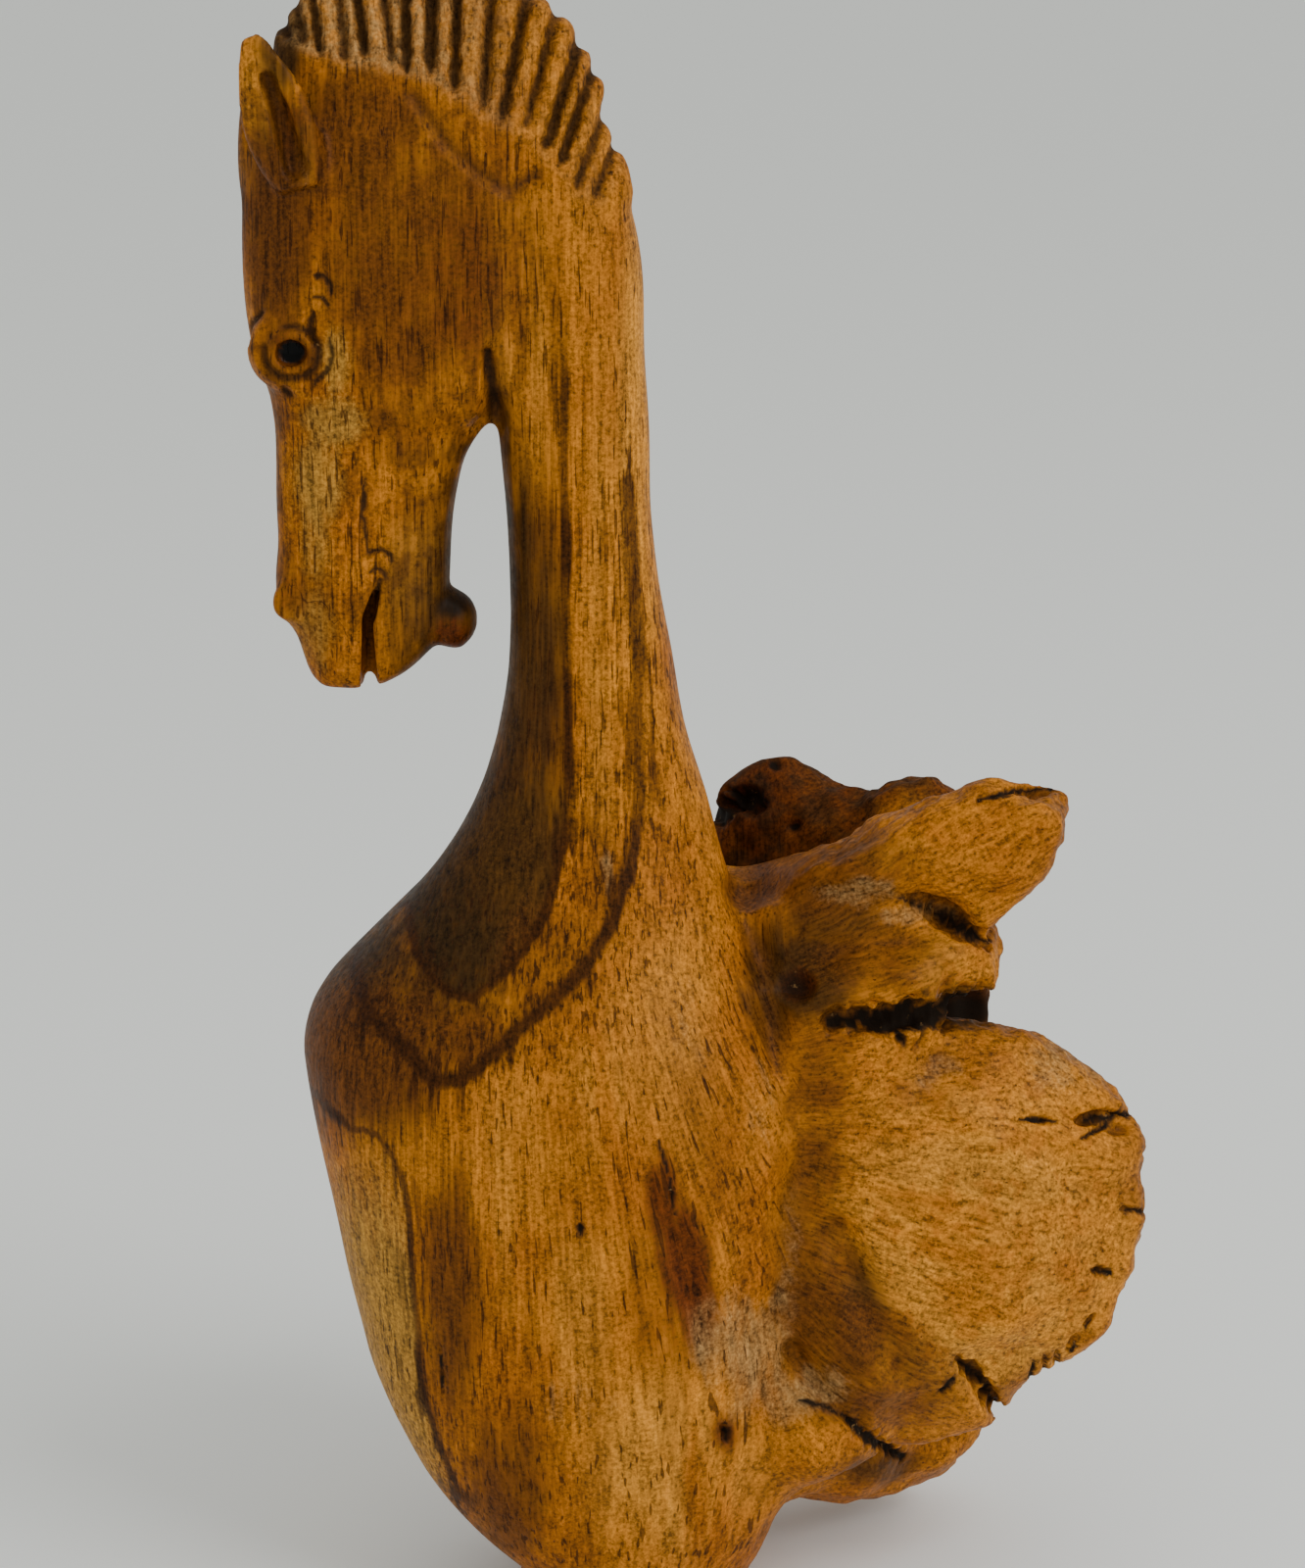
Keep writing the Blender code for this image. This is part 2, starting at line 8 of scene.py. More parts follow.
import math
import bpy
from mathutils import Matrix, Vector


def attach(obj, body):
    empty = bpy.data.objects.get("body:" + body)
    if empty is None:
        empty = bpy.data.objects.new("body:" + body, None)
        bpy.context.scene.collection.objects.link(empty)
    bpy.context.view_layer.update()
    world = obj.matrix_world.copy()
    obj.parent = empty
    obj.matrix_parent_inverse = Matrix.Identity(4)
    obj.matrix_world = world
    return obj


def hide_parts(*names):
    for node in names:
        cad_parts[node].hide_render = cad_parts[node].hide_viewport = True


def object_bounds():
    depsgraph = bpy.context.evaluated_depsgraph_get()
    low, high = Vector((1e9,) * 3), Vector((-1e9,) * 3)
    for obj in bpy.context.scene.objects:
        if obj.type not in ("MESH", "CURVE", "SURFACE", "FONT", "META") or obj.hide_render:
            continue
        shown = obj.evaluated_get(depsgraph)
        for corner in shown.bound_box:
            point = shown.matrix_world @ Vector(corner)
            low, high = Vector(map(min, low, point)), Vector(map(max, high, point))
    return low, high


bl_info = {
    "name": "Carved Horse Figure",
    "version": (1, 0, 0),
    "blender": (4, 5, 0),
    "location": "3D View > Sidebar > Carved Horse",
    "description": "Finely carved and oiled wood for the horse figure, and its stage",
    "category": "Add Mesh",
}

import bpy
import numpy as np
from mathutils import Vector

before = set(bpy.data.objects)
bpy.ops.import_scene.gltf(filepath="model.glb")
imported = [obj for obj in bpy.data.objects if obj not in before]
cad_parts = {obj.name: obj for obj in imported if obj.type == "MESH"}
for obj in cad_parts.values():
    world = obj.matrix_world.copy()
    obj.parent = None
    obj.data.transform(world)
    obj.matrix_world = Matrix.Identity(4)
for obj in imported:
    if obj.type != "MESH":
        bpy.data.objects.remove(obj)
CAD_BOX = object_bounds()

NODE = "horse_figure"
MM = 0.001

# The gouge cuts of the mane, from the edge down to the foot
MANE_CUTS = (
    ((-36.3, 165.8), (-34.5, 161.8)), ((-34.5, 166.8), (-33, 161)), ((-32.5, 167.1), (-31.5, 160)),
    ((-29.9, 166.8), (-29, 159.3)), ((-28.2, 167.4), (-27.1, 159.8)), ((-25.7, 167.9), (-24.4, 159)),
    ((-23.4, 166.8), (-23.2, 158.3)), ((-20.8, 167.6), (-21, 158)), ((-18.3, 166.8), (-18.6, 156.2)),
    ((-15.1, 165.1), (-15.9, 154.4)), ((-11.8, 165.3), (-14.3, 153.2)), ((-9.1, 163.6), (-12.1, 152.6)),
    ((-6.9, 160.8), (-10.1, 150.7)), ((-5.2, 159), (-8.9, 149.2)), ((-3.7, 155.9), (-7.4, 146.8)),
    ((-2.5, 153.4), (-5.4, 146.2)))
MANE_CUT_WIDTH = 1.0
MANE_FRONT = (-38, -35.5)
MANE_FOOT_X = (-36, -33, -29, -24, -21, -18.5, -15.5, -12.5, -10, -7.5, -5, 0)
MANE_FOOT_Z = (161.5, 160.5, 159.2, 158.6, 157.6, 155.8, 153.8, 151.8, 149.8, 146.8, 145.8, 145.6)
MANE_FOOT_BAND = (-0.6, 1.8)
MANE_TOP = (0.4, 2.4)  # the cuts reach their depth between these distances from the middle
MANE_TOP_SHARE = 0.35
MANE_RISE = 0.45  # the ridges stand proud by this share of the cuts' depth
MANE_TONGUE = ((-22.5, 157), (-19.5, 152.8), (-16, 149.6), (-13.3, 148), (-10.8, 149.3))
TONGUE_CUT = (1.1, 0.45)  # half width, depth
TONGUE_BAND = (1, 2.5)

EYE_AT = (-34.8, 132.2)
EYE_BAND = (3.0, 4.6)
PUPIL_RADII = (1.35, 1.2)
PUPIL_DEPTH = 0.7
PUPIL_DISH = 0.25
LID_RING = 2.7
LID_CUT = (0.6, 0.45)
LID_OPEN = (math.radians(115), math.radians(160))  # the ring of the lid isn't cut here
FACE_BAND = (1.5, 3.2)

# Cuts of the face: line in the side view, half width, depth
FACE_CUTS = {
    "comma above the eye": (((-32.5, 136.2), (-32.9, 134.9), (-32.5, 133.5)), 0.5, 0.6),
    "outer lid": (((-31, 133.8), (-30.7, 132), (-31.3, 130.4), (-32.6, 129.1)), 0.4, 0.35),
    "brow": (((-39.4, 132.6), (-38.9, 134.6), (-37.6, 136)), 0.35, 0.3),
    "upper crescent": (((-32.4, 139.7), (-31.4, 139.8), (-30.7, 138.9), (-30.7, 137.9)), 0.35, 0.4),
    "lower crescent": (((-32.5, 137.8), (-31.5, 137.6), (-31, 136.8)), 0.35, 0.35),
    "under the eye": (((-35.8, 128.6), (-35, 127.6)), 0.5, 0.35),
    "upper lip crescent": (((-27.5, 112), (-26.4, 112.3), (-25.5, 111.7), (-25.3, 111)), 0.35, 0.4),
    "lower lip crescent": (((-27.6, 110), (-26.7, 110.4), (-26, 109.9), (-25.9, 109.1)), 0.35, 0.4),
    "corner of the mouth": (((-26.6, 109.2), (-27.1, 107.2), (-27.5, 105)), 0.45, 0.7),
    "jaw": (((-15.6, 132.3), (-15.1, 128.3), (-14.9, 124.4), (-15, 122.8)), 0.8, 0.55),
    "nose line": (((-28, 119.6), (-28.2, 116.3), (-27.7, 111.6)), 0.28, 0.12),
    "nose pore": (((-28, 118), (-28.1, 116.2)), 0.4, 0.3),
    "throat notch": (((-14.4, 113.3), (-14.6, 110)), 0.35, 0.4),
}
EAR_SCOOP = ((-36.4, 158.9), (-35.4, 156), (-34.7, 153), (-34.2, 150.4))
EAR_BAND = (6.8, 7.8)
EAR_FACING = (0.1, 0.5)
EAR_WIDTH = (0.8, 0.7)  # half width at the tip, and what the foot has more
EAR_DEPTH = 1.0

# The camera looks at the figure from here, and places of the near side are given in its picture:
# millimetres to the right and up from the middle, at the middle's distance
AIM = (0.6, 0.0, 87.0)
AWAY = 430.0
LOOK_DOWN = math.radians(14.0)

# Cracks, slits and pits of the burl and the trunk, in the picture: line, half width, depth
BURL_CUTS = {
    "bark crack": (((18.2, -24.2), (21.5, -24), (24, -24.6), (27, -24.4)), 1.5, 1.6),
    "bark crack, middle": (((22.6, -24.1), (26, -23.8), (29.5, -23.3)), 2.3, 1.9),
    "bark crack, right": (((29, -22.9), (31.5, -22.3), (34.6, -21.6)), 1.8, 1.7),
    "bark crack, lobe": (((24.6, -24.6), (25.6, -26.4)), 0.9, 1.2),
    "crease of the top petal": (((28.6, -12.9), (31.2, -14.4), (34.2, -16.2)), 1, 1.2),
    "crease, left end": (((25.2, -11.6), (28.6, -12.9)), 0.45, 0.6),
    "top petal crack": (((33.3, -1.7), (36.8, -0.8), (41.3, -0.5)), 0.45, 0.8),
    "big petal slit": (((37, -34.2), (41, -34.4)), 0.4, 0.6),
    "rim notch": (((43.4, -34.4), (48.6, -33.6)), 0.75, 1.3),
    "under the rim notch": (((43.8, -36.2), (46.4, -34.8)), 0.4, 0.6),
    "upper nick": (((47.8, -43.4), (50.6, -43.6)), 0.4, 0.8),
    "lower nick": (((45, -49.6), (46.8, -49.9)), 0.5, 0.9),
    "cleft": (((31.3, -59), (33.2, -60.4), (35.7, -64.7)), 0.9, 1.4),
    "first slit": (((38.9, -58.7), (38.4, -61.9)), 0.32, 0.7),
    "second slit": (((40.1, -58.5), (39.7, -61.7)), 0.32, 0.7),
    "third slit": (((41.4, -58.1), (41, -61)), 0.32, 0.7),
    "first tooth": (((43.5, -56.4), (42.6, -58)), 0.4, 0.8),
    "second tooth": (((45.2, -54.2), (44.2, -55.4)), 0.4, 0.8),
    "small nick": (((30.7, -60.6), (29.5, -61.8)), 0.4, 0.6),
    "belly gap": (((20, -65), (22.4, -67), (25.4, -68.6)), 0.9, 1),
    "belly specks": (((14.8, -62.8), (17.2, -63.4), (19.8, -64.6)), 0.4, 0.4),
    "spur pit": (((7.3, -65.6), (7.5, -67)), 0.6, 1),
    "breast pit": (((-7.5, -45.1), (-7.4, -46)), 0.75, 0.6),
    "short crack": (((-21.6, -57.3), (-21.4, -62.1)), 0.25, 0.3),
    "red hollow, edge": (((0.6, -36.4), (1.8, -40.4), (2.4, -44.6)), 0.28, 0.25),
}
NECK_HOLLOW = (14.6, -20.6, 2.4, 1.9)  # round hollow between neck and petals: place, radius, depth

# Holes in the knobs of the far rim, in the picture: place, radii, depth
KNOB_PITS = (
    (9.4, -1.7, 2.5, 1.5, 2.2), (7, -3.2, 1.7, 1.2, 1.4), (12.6, 1.8, 0.7, 0.5, 0.5),
    (14.6, -4.4, 0.8, 0.6, 0.6), (28.9, -4.3, 1, 0.6, 0.7))

# Soft hollows of the near side, in the picture: line, half width, depth
HOLLOWS = {
    "fold of the big petal": (((19.1, -45.8), (21.6, -53.3), (25.4, -59.6)), 3.2, 1.3),
    "red hollow": (((-0.4, -41.1), (2.9, -48.6), (5.3, -55.7)), 2.6, 0.6),
    "under the belly": (((14.1, -57.8), (17.3, -62.3), (21.2, -64.7)), 1.6, 0.7),
    "beside the neck": (((8.8, -10.9), (12.1, -20.8), (12.9, -29.2)), 2.4, 0.9),
    "top petal": (((11, -10.6), (16.5, -11.6), (24.7, -11.8), (30.6, -13.6)), 3.2, 1.3),
    "under the mane": (((-32.3, 68.7), (-26, 67.6)), 2.4, 0.25),
}
FACING_VIEWER = (-0.35, 0.15)

# Uneven swells of each kind of place: length, height, random seed. The panel sets how high those
# of the hand are
HAND_SWELLS = ((16.0, 1.0, 11),)
BURL_SWELLS = ((7.0, 0.22, 12), (2.6, 0.05, 13))
RIM_SWELLS = ((2.4, 0.16, 17), (1.2, 0.08, 18))
RAW_SWELLS = ((4.0, 0.16, 14), (1.8, 0.03, 15))
CRACK_SWELLS = ((1.2, 0.3, 16),)
CRACK_WOBBLE = (1.5, 3)  # length, random seed

# Dark lines of growth rings in the picture. The wood on their left hand is in shade
RING_LINES = {
    "inner_ring": (
        (-24.9, -12.5), (-24.6, -15.4), (-23, -18.9), (-20.7, -21.2), (-18.4, -21.8), (-16.4, -20.6),
        (-13.2, -17.1), (-10.9, -13.1), (-9.4, -7.3), (-8.6, -1.5), (-8.6, 10), (-8.8, 22), (-9, 34),
        (-9, 50)),
    "outer_ring": (
        (-30.6, -14), (-30.5, -17.7), (-29.6, -21.8), (-27.6, -24.7), (-24.7, -27.5), (-22.4, -30),
        (-19.5, -30.1), (-16.1, -27.5), (-13.2, -24.7), (-9.7, -21.5), (-7.1, -18.9), (-4.5, -14.8),
        (-3.2, -11), (-1.9, -6.6), (-1.3, -1.5), (-1.5, 5), (-1.4, 12), (-2, 22), (-2.5, 31)),
    "edge_ring": (
        (-34.4, -31.6), (-32.8, -33.3), (-31.1, -35.1), (-28.2, -36.2), (-26.5, -38.5), (-25.3, -42),
        (-24.8, -46), (-24.4, -52), (-23.8, -58), (-22.6, -65), (-19.6, -73)),
}
RING_WIDTHS = {"inner_ring": 0.55, "outer_ring": 0.85, "edge_ring": 0.45}
RING_REACH = 12.0  # distances from a ring line, positive on its left, are kept up to here
# The wood's hollows found by this smoothing are painted darker: painted shade
CAVITY_ROUNDS = 24  # rounds of smoothing that show where the wood is hollow
CAVITY_DEPTH = (0.03, 0.45)

# Fibres of the trunk lean back by the second row at the places of the first, below these heights
FIBRE_LEAN = ((-16.0, -8.0, -2.0, 4.0, 9.0), (0.0, 3.0, 9.0, 20.0, 30.0))
FIBRE_LEAN_HEIGHT = (14.0, 74.0)
FAN_ROOT = (-16.0, 56.0)  # the burl's fibres fan out from here, in the side view
FAN_SPREAD = 50.0

# Noise drawn out along the fibres, per metre: across, along, detail. First the trunk's, then the burl's
WIDE_FIGURE = ((300.0, 14.0, 3.0), (170.0, 50.0, 4.0))
FINE_FIBRE = ((2600.0, 130.0, 2.0), (2300.0, 420.0, 2.0))
STREAKS = (900.0, 34.0, 3.0)
PORES = ((3300.0, 230.0), (3600.0, 1700.0))

# Noise without a direction, per metre: scale, detail, roughness
SPECKS = (1100.0, 4.0, 0.7)
GRAIN = (2300.0, 3.0, 0.75)
MOTTLE = (300.0, 4.0, 0.6)
CLOUD = (85.0, 3.0, 0.5)
CURL = (190.0, 2.0, 0.5)
CURL_REACH = 1.6 * MM

# Finish of the surface
OILED_ROUGHNESS = (0.40, 0.56)
DULL_ROUGHNESS = 0.72
PUPIL_ROUGHNESS = 0.12
SPECULAR = 0.06
RELIEF = 0.12 * MM

# Smoothing: part of the way to the neighbours, and in KEEP_FORM back from them
KEEP_FORM = (0.6, -0.62)
ROUND_OFF = (0.6,)
TAKE_EDGE_OFF = (0.4,)
SHARP = math.radians(62)
CREASE = 0.7

# Floor, lights (place, size) and camera, in metres. The lens and its picture's width are in millimetres
FLOOR_SIZE = 16.0
KEY_LIGHT = ((0.55, -0.40, 0.62), 0.5)
FILL_LIGHT = ((-0.75, -0.55, 0.30), 0.9)
LIT_PLACE = (0.0, 0.0, 0.08)
STUDIO_COLOUR = (0.98, 1.0, 0.965, 1.0)
LENS = 96.75
PICTURE_WIDTH = 36.0

# Patches of colour on both sides of the head, in the side view: place, radii, strength. Some shaded, umber
# and bark rows are painted shade
HEAD_PATCHES = {
    "face_sapwood": (
        (-30.4, 131.4, 1.5, 3.4, 0.9), (-30.8, 125.4, 3.2, 2.8, 0.9), (-32.6, 119, 2.6, 4.6, 0.9),
        (-33, 113, 2, 4, 0.6), (-33.5, 104, 3, 5, 0.45)),
    # Partly painted shade: on the forehead and in the crease under the cheek
    "shaded": (
        (-36, 146, 3.2, 11, 0.75), (-37.4, 122, 1.3, 14, 0.5), (-20.5, 121.8, 6, 1.6, 0.5),
        (-14.2, 121, 1.4, 12, 0.5), (-35.2, 131.8, 4, 3.8, 0.5), (-35.2, 162, 2.4, 4.6, 0.9),
        (-31.5, 154, 2.4, 5, 0.5)),
    # The forehead's row, at x -36, is painted shade
    "umber": (
        (-22, 142, 12, 15, 0.85), (-27.5, 153, 8, 7, 0.9), (-36.4, 108, 2.4, 4.4, 0.6),
        (-24, 128, 5, 7, 0.6), (-36, 144, 3.8, 11, 1), (-22, 112, 4, 8, 0.1),
        (-33.5, 104.5, 4, 5, 0.55), (-25, 111, 6, 8, 0.1)),
    "red": (
        (-35.2, 107.5, 1.8, 2.4, 0.5), (-19.6, 103, 2.2, 2.4, 0.8), (-34.8, 132.2, 2.6, 2.6, 0.5),
        (-18, 139, 4, 9, 0.35), (-34.6, 154, 1.6, 4, 0.5)),
    "worn": (
        (-33.8, 150, 1.4, 2, 0.2),),
    "gold": (
        (-37, 158, 2.4, 6, 0.6), (-23.5, 110, 3.5, 5, 0.45), (-32.6, 152.4, 1.2, 4, 0.8),
        (-12, 133, 4, 12, 0.3)),
    # The forelock's row, at x -39.9, is painted shade on its shadow side
    "bark": (
        (-19.6, 106, 1.9, 1.2, 0.9), (-39.9, 150, 0.8, 8, 0.5)),
}

# Patches of colour on the near side, in the picture: place, radii, strength. Many shaded, umber, gold, worn
# and red rows are painted shade and light
NEAR_PATCHES = {
    "bark": ((31.8, -23, 4, 2.2, 1),),
    "sapwood": ((-29, -62, 9, 22, 1),),
    "inside_inner": ((-17, 11, 10.5, 25, 0.88), (-19, -9, 14, 17, 1)),
    "inside_outer": ((-24, -19, 10, 11, 0.8), (-16, -25, 7, 6, 0.4)),
    # Mostly painted shade: on the breast's left side away from the key light, by the foot, where the petals
    # meet the trunk, between the top and mid petals and in the big petal's fold
    "shaded": (
        (-35, -18, 8.5, 11, 1), (-32, -27.5, 7, 5, 0.8), (-28, -28.5, 6.5, 5.5, 0.8),
        (-20.1, -54.4, 1.6, 10, 0.35), (-20, -74, 5, 6, 0.4), (-15.5, -73, 5, 8, 0.5),
        (12.5, -19.6, 4.2, 7.5, 0.7), (12.6, -9, 5, 3, 0.2), (15.6, -19.6, 6, 5, 0.95),
        (18.4, -13.8, 6, 2.6, 0.75), (13.5, -37.1, 2, 9, 0.25), (13.8, -48, 2.4, 8, 0.5),
        (16.6, -52.5, 2.8, 7, 0.45), (21, -54.8, 2.8, 6, 0.95), (19, -62, 6, 4, 0.5),
        (19.3, -63.8, 4, 1.8, 0.55), (26, -70, 8, 2, 0.75)),
    # Partly painted shade: on the breast's and trunk's left side, on the petals near the trunk and in the
    # big petal's fold
    "umber": (
        (-30, -28, 11, 8.5, 0.95), (-19.5, -26, 6.5, 3.6, 0.85), (-10.5, -19, 5.5, 7.5, 0.65),
        (-4.8, -10, 3, 10, 0.35), (-20.4, -51, 3.2, 13, 0.9), (-22.7, -59.7, 1.4, 12, 0.5),
        (-14.5, -71, 5, 9, 0.65), (-12, -60, 2, 10, 0.3), (2, -61, 2, 8, 0.3), (1.6, -50, 4.6, 8, 0.5),
        (6, -34, 3, 9, 0.25), (18, -9, 9, 6, 0.75), (10.6, -10.6, 4, 2.8, 0.8), (23.5, -18, 8, 4, 0.7),
        (17.4, -29.5, 3.5, 5, 0.7), (28, -31, 5, 2, 0.3), (17, -40, 3, 10, 0.6), (26, -42, 5, 2, 0.25),
        (36, -45, 4, 3, 0.25), (16.8, -52.5, 4.2, 9, 0.85), (20.6, -57, 4.8, 6, 0.85),
        (24.4, -59, 4.8, 4.6, 0.7), (24.5, -62, 8, 4, 0.7)),
    # The first three rows, on the red hollow, are partly painted shade of that valley
    "red": (
        (1, -42, 1.9, 5, 0.9), (3.4, -48.2, 3, 6, 1), (5, -54, 2.4, 4.6, 0.9),
        (1, -56.5, 2.6, 3.4, 0.5), (7.4, -66.4, 1.9, 2.2, 0.7), (15, -20.5, 2, 1.7, 0.8),
        (20.1, -3.8, 2.6, 2.4, 0.2), (30, -20.4, 4, 1, 0.3)),
    # The rows at (21.5, -11) and (27, -13.2) are a painted sheen on the mid petal's upper face
    "worn": (
        (9, -56.9, 4.4, 5.2, 0.72), (13.8, -48.3, 1.5, 6.5, 0.4), (17, -61.2, 4, 2, 0.5),
        (11.8, -62.6, 5, 3.2, 0.45), (-7.2, -63, 4.6, 3.4, 0.35), (21.5, -11, 4.6, 1.5, 0.5),
        (27, -13.2, 4.6, 1.3, 0.5), (42.6, -28.4, 4.6, 3.6, 0.5), (28.9, -29.3, 3, 2, 0.3),
        (11, -33, 1.6, 5, 0.3), (4, -24, 2.4, 5, 0.2), (-4.5, -8.8, 0.35, 1.9, 0.9)),
    # The rows on the neck's right side, at the mid petal's tip and on the big petal are painted light
    "gold": (
        (-1, 36, 2.4, 24, 0.8), (-5.2, 16, 1.8, 24, 0.3), (-4.2, -29, 3.6, 8, 0.35),
        (2, -26, 5, 12, 0.3), (-15, -40.3, 3, 12, 0.55), (-8, -55, 4, 8, 0.4), (2, -70, 8, 9, 0.9),
        (26.8, -7.3, 6, 1.6, 0.35), (30.5, -18.4, 4.4, 3.2, 0.6), (33, -46, 15, 15, 0.75),
        (35, -55.5, 9, 6, 1)),
}


def fade(value, low, high):
    """0 below low, 1 above high, smooth between."""
    part = np.clip((value - low) / (high - low), 0, 1)
    return part * part * (3 - 2 * part)


def read_vectors(items, key):
    flat = np.empty(len(items) * 3, np.float32)
    items.foreach_get(key, flat)
    return flat.reshape(-1, 3).astype(float)


def places_of(mesh):
    """Vertex places in millimetres."""
    return read_vectors(mesh.vertices, "co") / MM


def normals_of(mesh):
    return read_vectors(mesh.vertex_normals, "vector")


def put_places(mesh, places):
    mesh.vertices.foreach_set("co", (places * MM).astype(np.float32).ravel())
    mesh.update()


def inside_block(places):
    """Places brought back inside the solid's own box."""
    lowest, highest = (np.array(corner) / MM for corner in CAD_BOX)
    return np.clip(places, lowest, highest)


class Neighbours:
    """Means over the vertices next to each vertex."""

    def __init__(self, mesh):
        pairs = np.empty(len(mesh.edges) * 2, np.int32)
        mesh.edges.foreach_get("vertices", pairs)
        pairs = pairs.reshape(-1, 2)
        self.ends = np.concatenate((pairs[:, 0], pairs[:, 1]))
        self.others = np.concatenate((pairs[:, 1], pairs[:, 0]))
        self.count = len(mesh.vertices)
        self.number = np.maximum(np.bincount(self.ends, minlength=self.count), 1)

    def mean(self, values):
        if values.ndim == 1:
            return np.bincount(self.ends, values[self.others], minlength=self.count) / self.number
        return np.column_stack([self.mean(values[:, axis]) for axis in range(values.shape[1])])


def rub_down(mesh, rounds, shares, strength=1):
    """Each vertex goes part of the way to the middle of its neighbours, or back from it."""
    near = Neighbours(mesh)
    places = places_of(mesh)
    amount = np.broadcast_to(strength, len(places))[:, None]
    for _ in range(rounds):
        for share in shares:
            places = places + (near.mean(places) - places) * share * amount
    put_places(mesh, places)


def smooth_through(piece, levels=2, rounds=3, share=0.8):
    """Round off the facets while the surface still passes through the corners, so that rims stay whole."""
    modifier = piece.modifiers.new("smooth", "SUBSURF")
    modifier.levels = modifier.render_levels = levels
    corners = places_of(piece.data)
    control = corners.copy()
    for _ in range(rounds):
        bpy.context.view_layer.update()
        smoothed = piece.evaluated_get(bpy.context.evaluated_depsgraph_get())
        now = places_of(smoothed.to_mesh())[:len(corners)]
        smoothed.to_mesh_clear()
        control += (corners - now) * share
        put_places(piece.data, control)
    bpy.ops.object.modifier_apply(modifier=modifier.name)


def from_line(x, z, line):
    """Distance to a line of points, the share of the way along it, and 1 on its left or -1 on its right."""
    best = np.full(len(x), np.inf)
    share = np.zeros(len(x))
    hand = np.ones(len(x))
    for step, (start, end) in enumerate(zip(line, line[1:])):
        run = (end[0] - start[0], end[1] - start[1])
        ahead = (x - start[0]) * run[0] + (z - start[1]) * run[1]
        part = np.clip(ahead / (run[0] ** 2 + run[1] ** 2), 0, 1)
        off_x, off_z = x - start[0] - run[0] * part, z - start[1] - run[1] * part
        distance = np.hypot(off_x, off_z)
        closer = distance < best
        best = np.where(closer, distance, best)
        share = np.where(closer, (step + part) / (len(line) - 1), share)
        hand = np.where(closer, np.where(run[0] * off_z - run[1] * off_x > 0, 1, -1), hand)
    return best, share, hand


def waves(places, length, seed):
    """Smooth uneven swells about a length long, from -1 to 1."""
    draw = np.random.default_rng(seed)
    total = np.zeros(len(places))
    for _ in range(9):
        direction = draw.normal(size=3)
        direction *= draw.uniform(0.7, 1.4) * 2.0 * math.pi / length / np.linalg.norm(direction)
        total += np.sin(places @ direction + draw.uniform(0.0, 2.0 * math.pi))
    return total / 3


def swells(places, rows):
    """Swells of several lengths together."""
    return sum(waves(places, length, seed) * height for length, height, seed in rows)


def in_picture(places):
    """Where each place is seen in the camera's picture, in millimetres right and up from the middle."""
    x, y, z = (places - AIM).T
    scale = AWAY / (AWAY + y * math.cos(LOOK_DOWN) - z * math.sin(LOOK_DOWN))
    return x * scale, (z * math.cos(LOOK_DOWN) + y * math.sin(LOOK_DOWN)) * scale


def on_burl(x, y, z):
    """1 on the burl behind the trunk, 0 on trunk, neck and head."""
    return fade(np.maximum(x - 12, y - 17), 0, 6) * (1 - fade(z, 92, 97))


def mane_cuts(places):
    """How deep the gouge cuts of the mane go, from 0 to 1, and how far a place is inside the mane."""
    x, _, z = places.T
    draw = np.random.default_rng(5)
    ragged = 1 + 0.22 * waves(places, 1.9, 21)
    cut = np.zeros(len(x))
    for top, foot in MANE_CUTS:
        wide, deep = draw.uniform(-1.0, 1.0, 2)
        start = (top[0] + 0.4 * (top[0] - foot[0]), top[1] + 0.4 * (top[1] - foot[1]))
        distance, share, _ = from_line(x, z, (start, foot))
        across = distance / (MANE_CUT_WIDTH * (1 + 0.15 * wide) * ragged)
        whole = (0.85 + 0.15 * deep) * fade(1 - share, 0, 0.16)
        cut = np.maximum(cut, np.clip(1 - across, 0, 1) ** 0.8 * whole)
    above = z - np.interp(x, MANE_FOOT_X, MANE_FOOT_Z)
    front = fade(x, *MANE_FRONT)
    return cut * front, fade(above, *MANE_FOOT_BAND) * front


def eye_cuts(x, z):
    """Depth of the drilled pupil and of the ring cut round it."""
    out = np.hypot((x - EYE_AT[0]) / PUPIL_RADII[0], (z - EYE_AT[1]) / PUPIL_RADII[1])
    away = np.hypot(x - EYE_AT[0], (z - EYE_AT[1]) * 1.05)
    turn = np.arctan2(z - EYE_AT[1], x - EYE_AT[0])
    opened = fade(turn, LID_OPEN[0] - 0.2, LID_OPEN[0] + 0.1)
    opened = opened * (1 - fade(turn, LID_OPEN[1] - 0.1, LID_OPEN[1] + 0.2))
    ring = np.clip(1 - np.abs(away - LID_RING) / LID_CUT[0], 0, 1) * (1 - 0.85 * opened)
    pupil = fade(1 - out, -0.12, 0.12)
    return pupil, ring, out


def cuts_of(table, x, z, wobble):
    """Deepest of a table of cuts at each place, and how dark it is."""
    depth = np.zeros(len(x))
    dark = np.zeros(len(x))
    for line, half_width, deep in table.values():
        distance, share, _ = from_line(x, z, line)
        width = half_width * (1 + 0.4 * wobble) * (1 - 0.35 * np.abs(2 * share - 1) ** 3)
        cut = np.clip(1 - distance / width, 0, 1)
        depth = np.maximum(depth, cut ** 0.7 * deep)
        dark = np.maximum(dark, fade(cut, 0, 0.55))
    return depth, dark


def facing_viewer(normals):
    """1 where the surface faces the camera's side."""
    return fade(-normals[:, 1], *FACING_VIEWER)


def near_side(y, normals):
    """1 on the side of the burl that faces the viewer."""
    return facing_viewer(normals) * fade(10 - y, 0, 3)


def outer_ear(y, normals):
    """1 on the hollow side of both ears."""
    return fade(np.abs(y), *EAR_BAND) * fade(normals[:, 1] * np.sign(y), *EAR_FACING)


def neck_hollow(u, v):
    """How far each place is inside the round hollow beside the neck."""
    return 1 - np.hypot(u - NECK_HOLLOW[0], v - NECK_HOLLOW[1]) / NECK_HOLLOW[2]


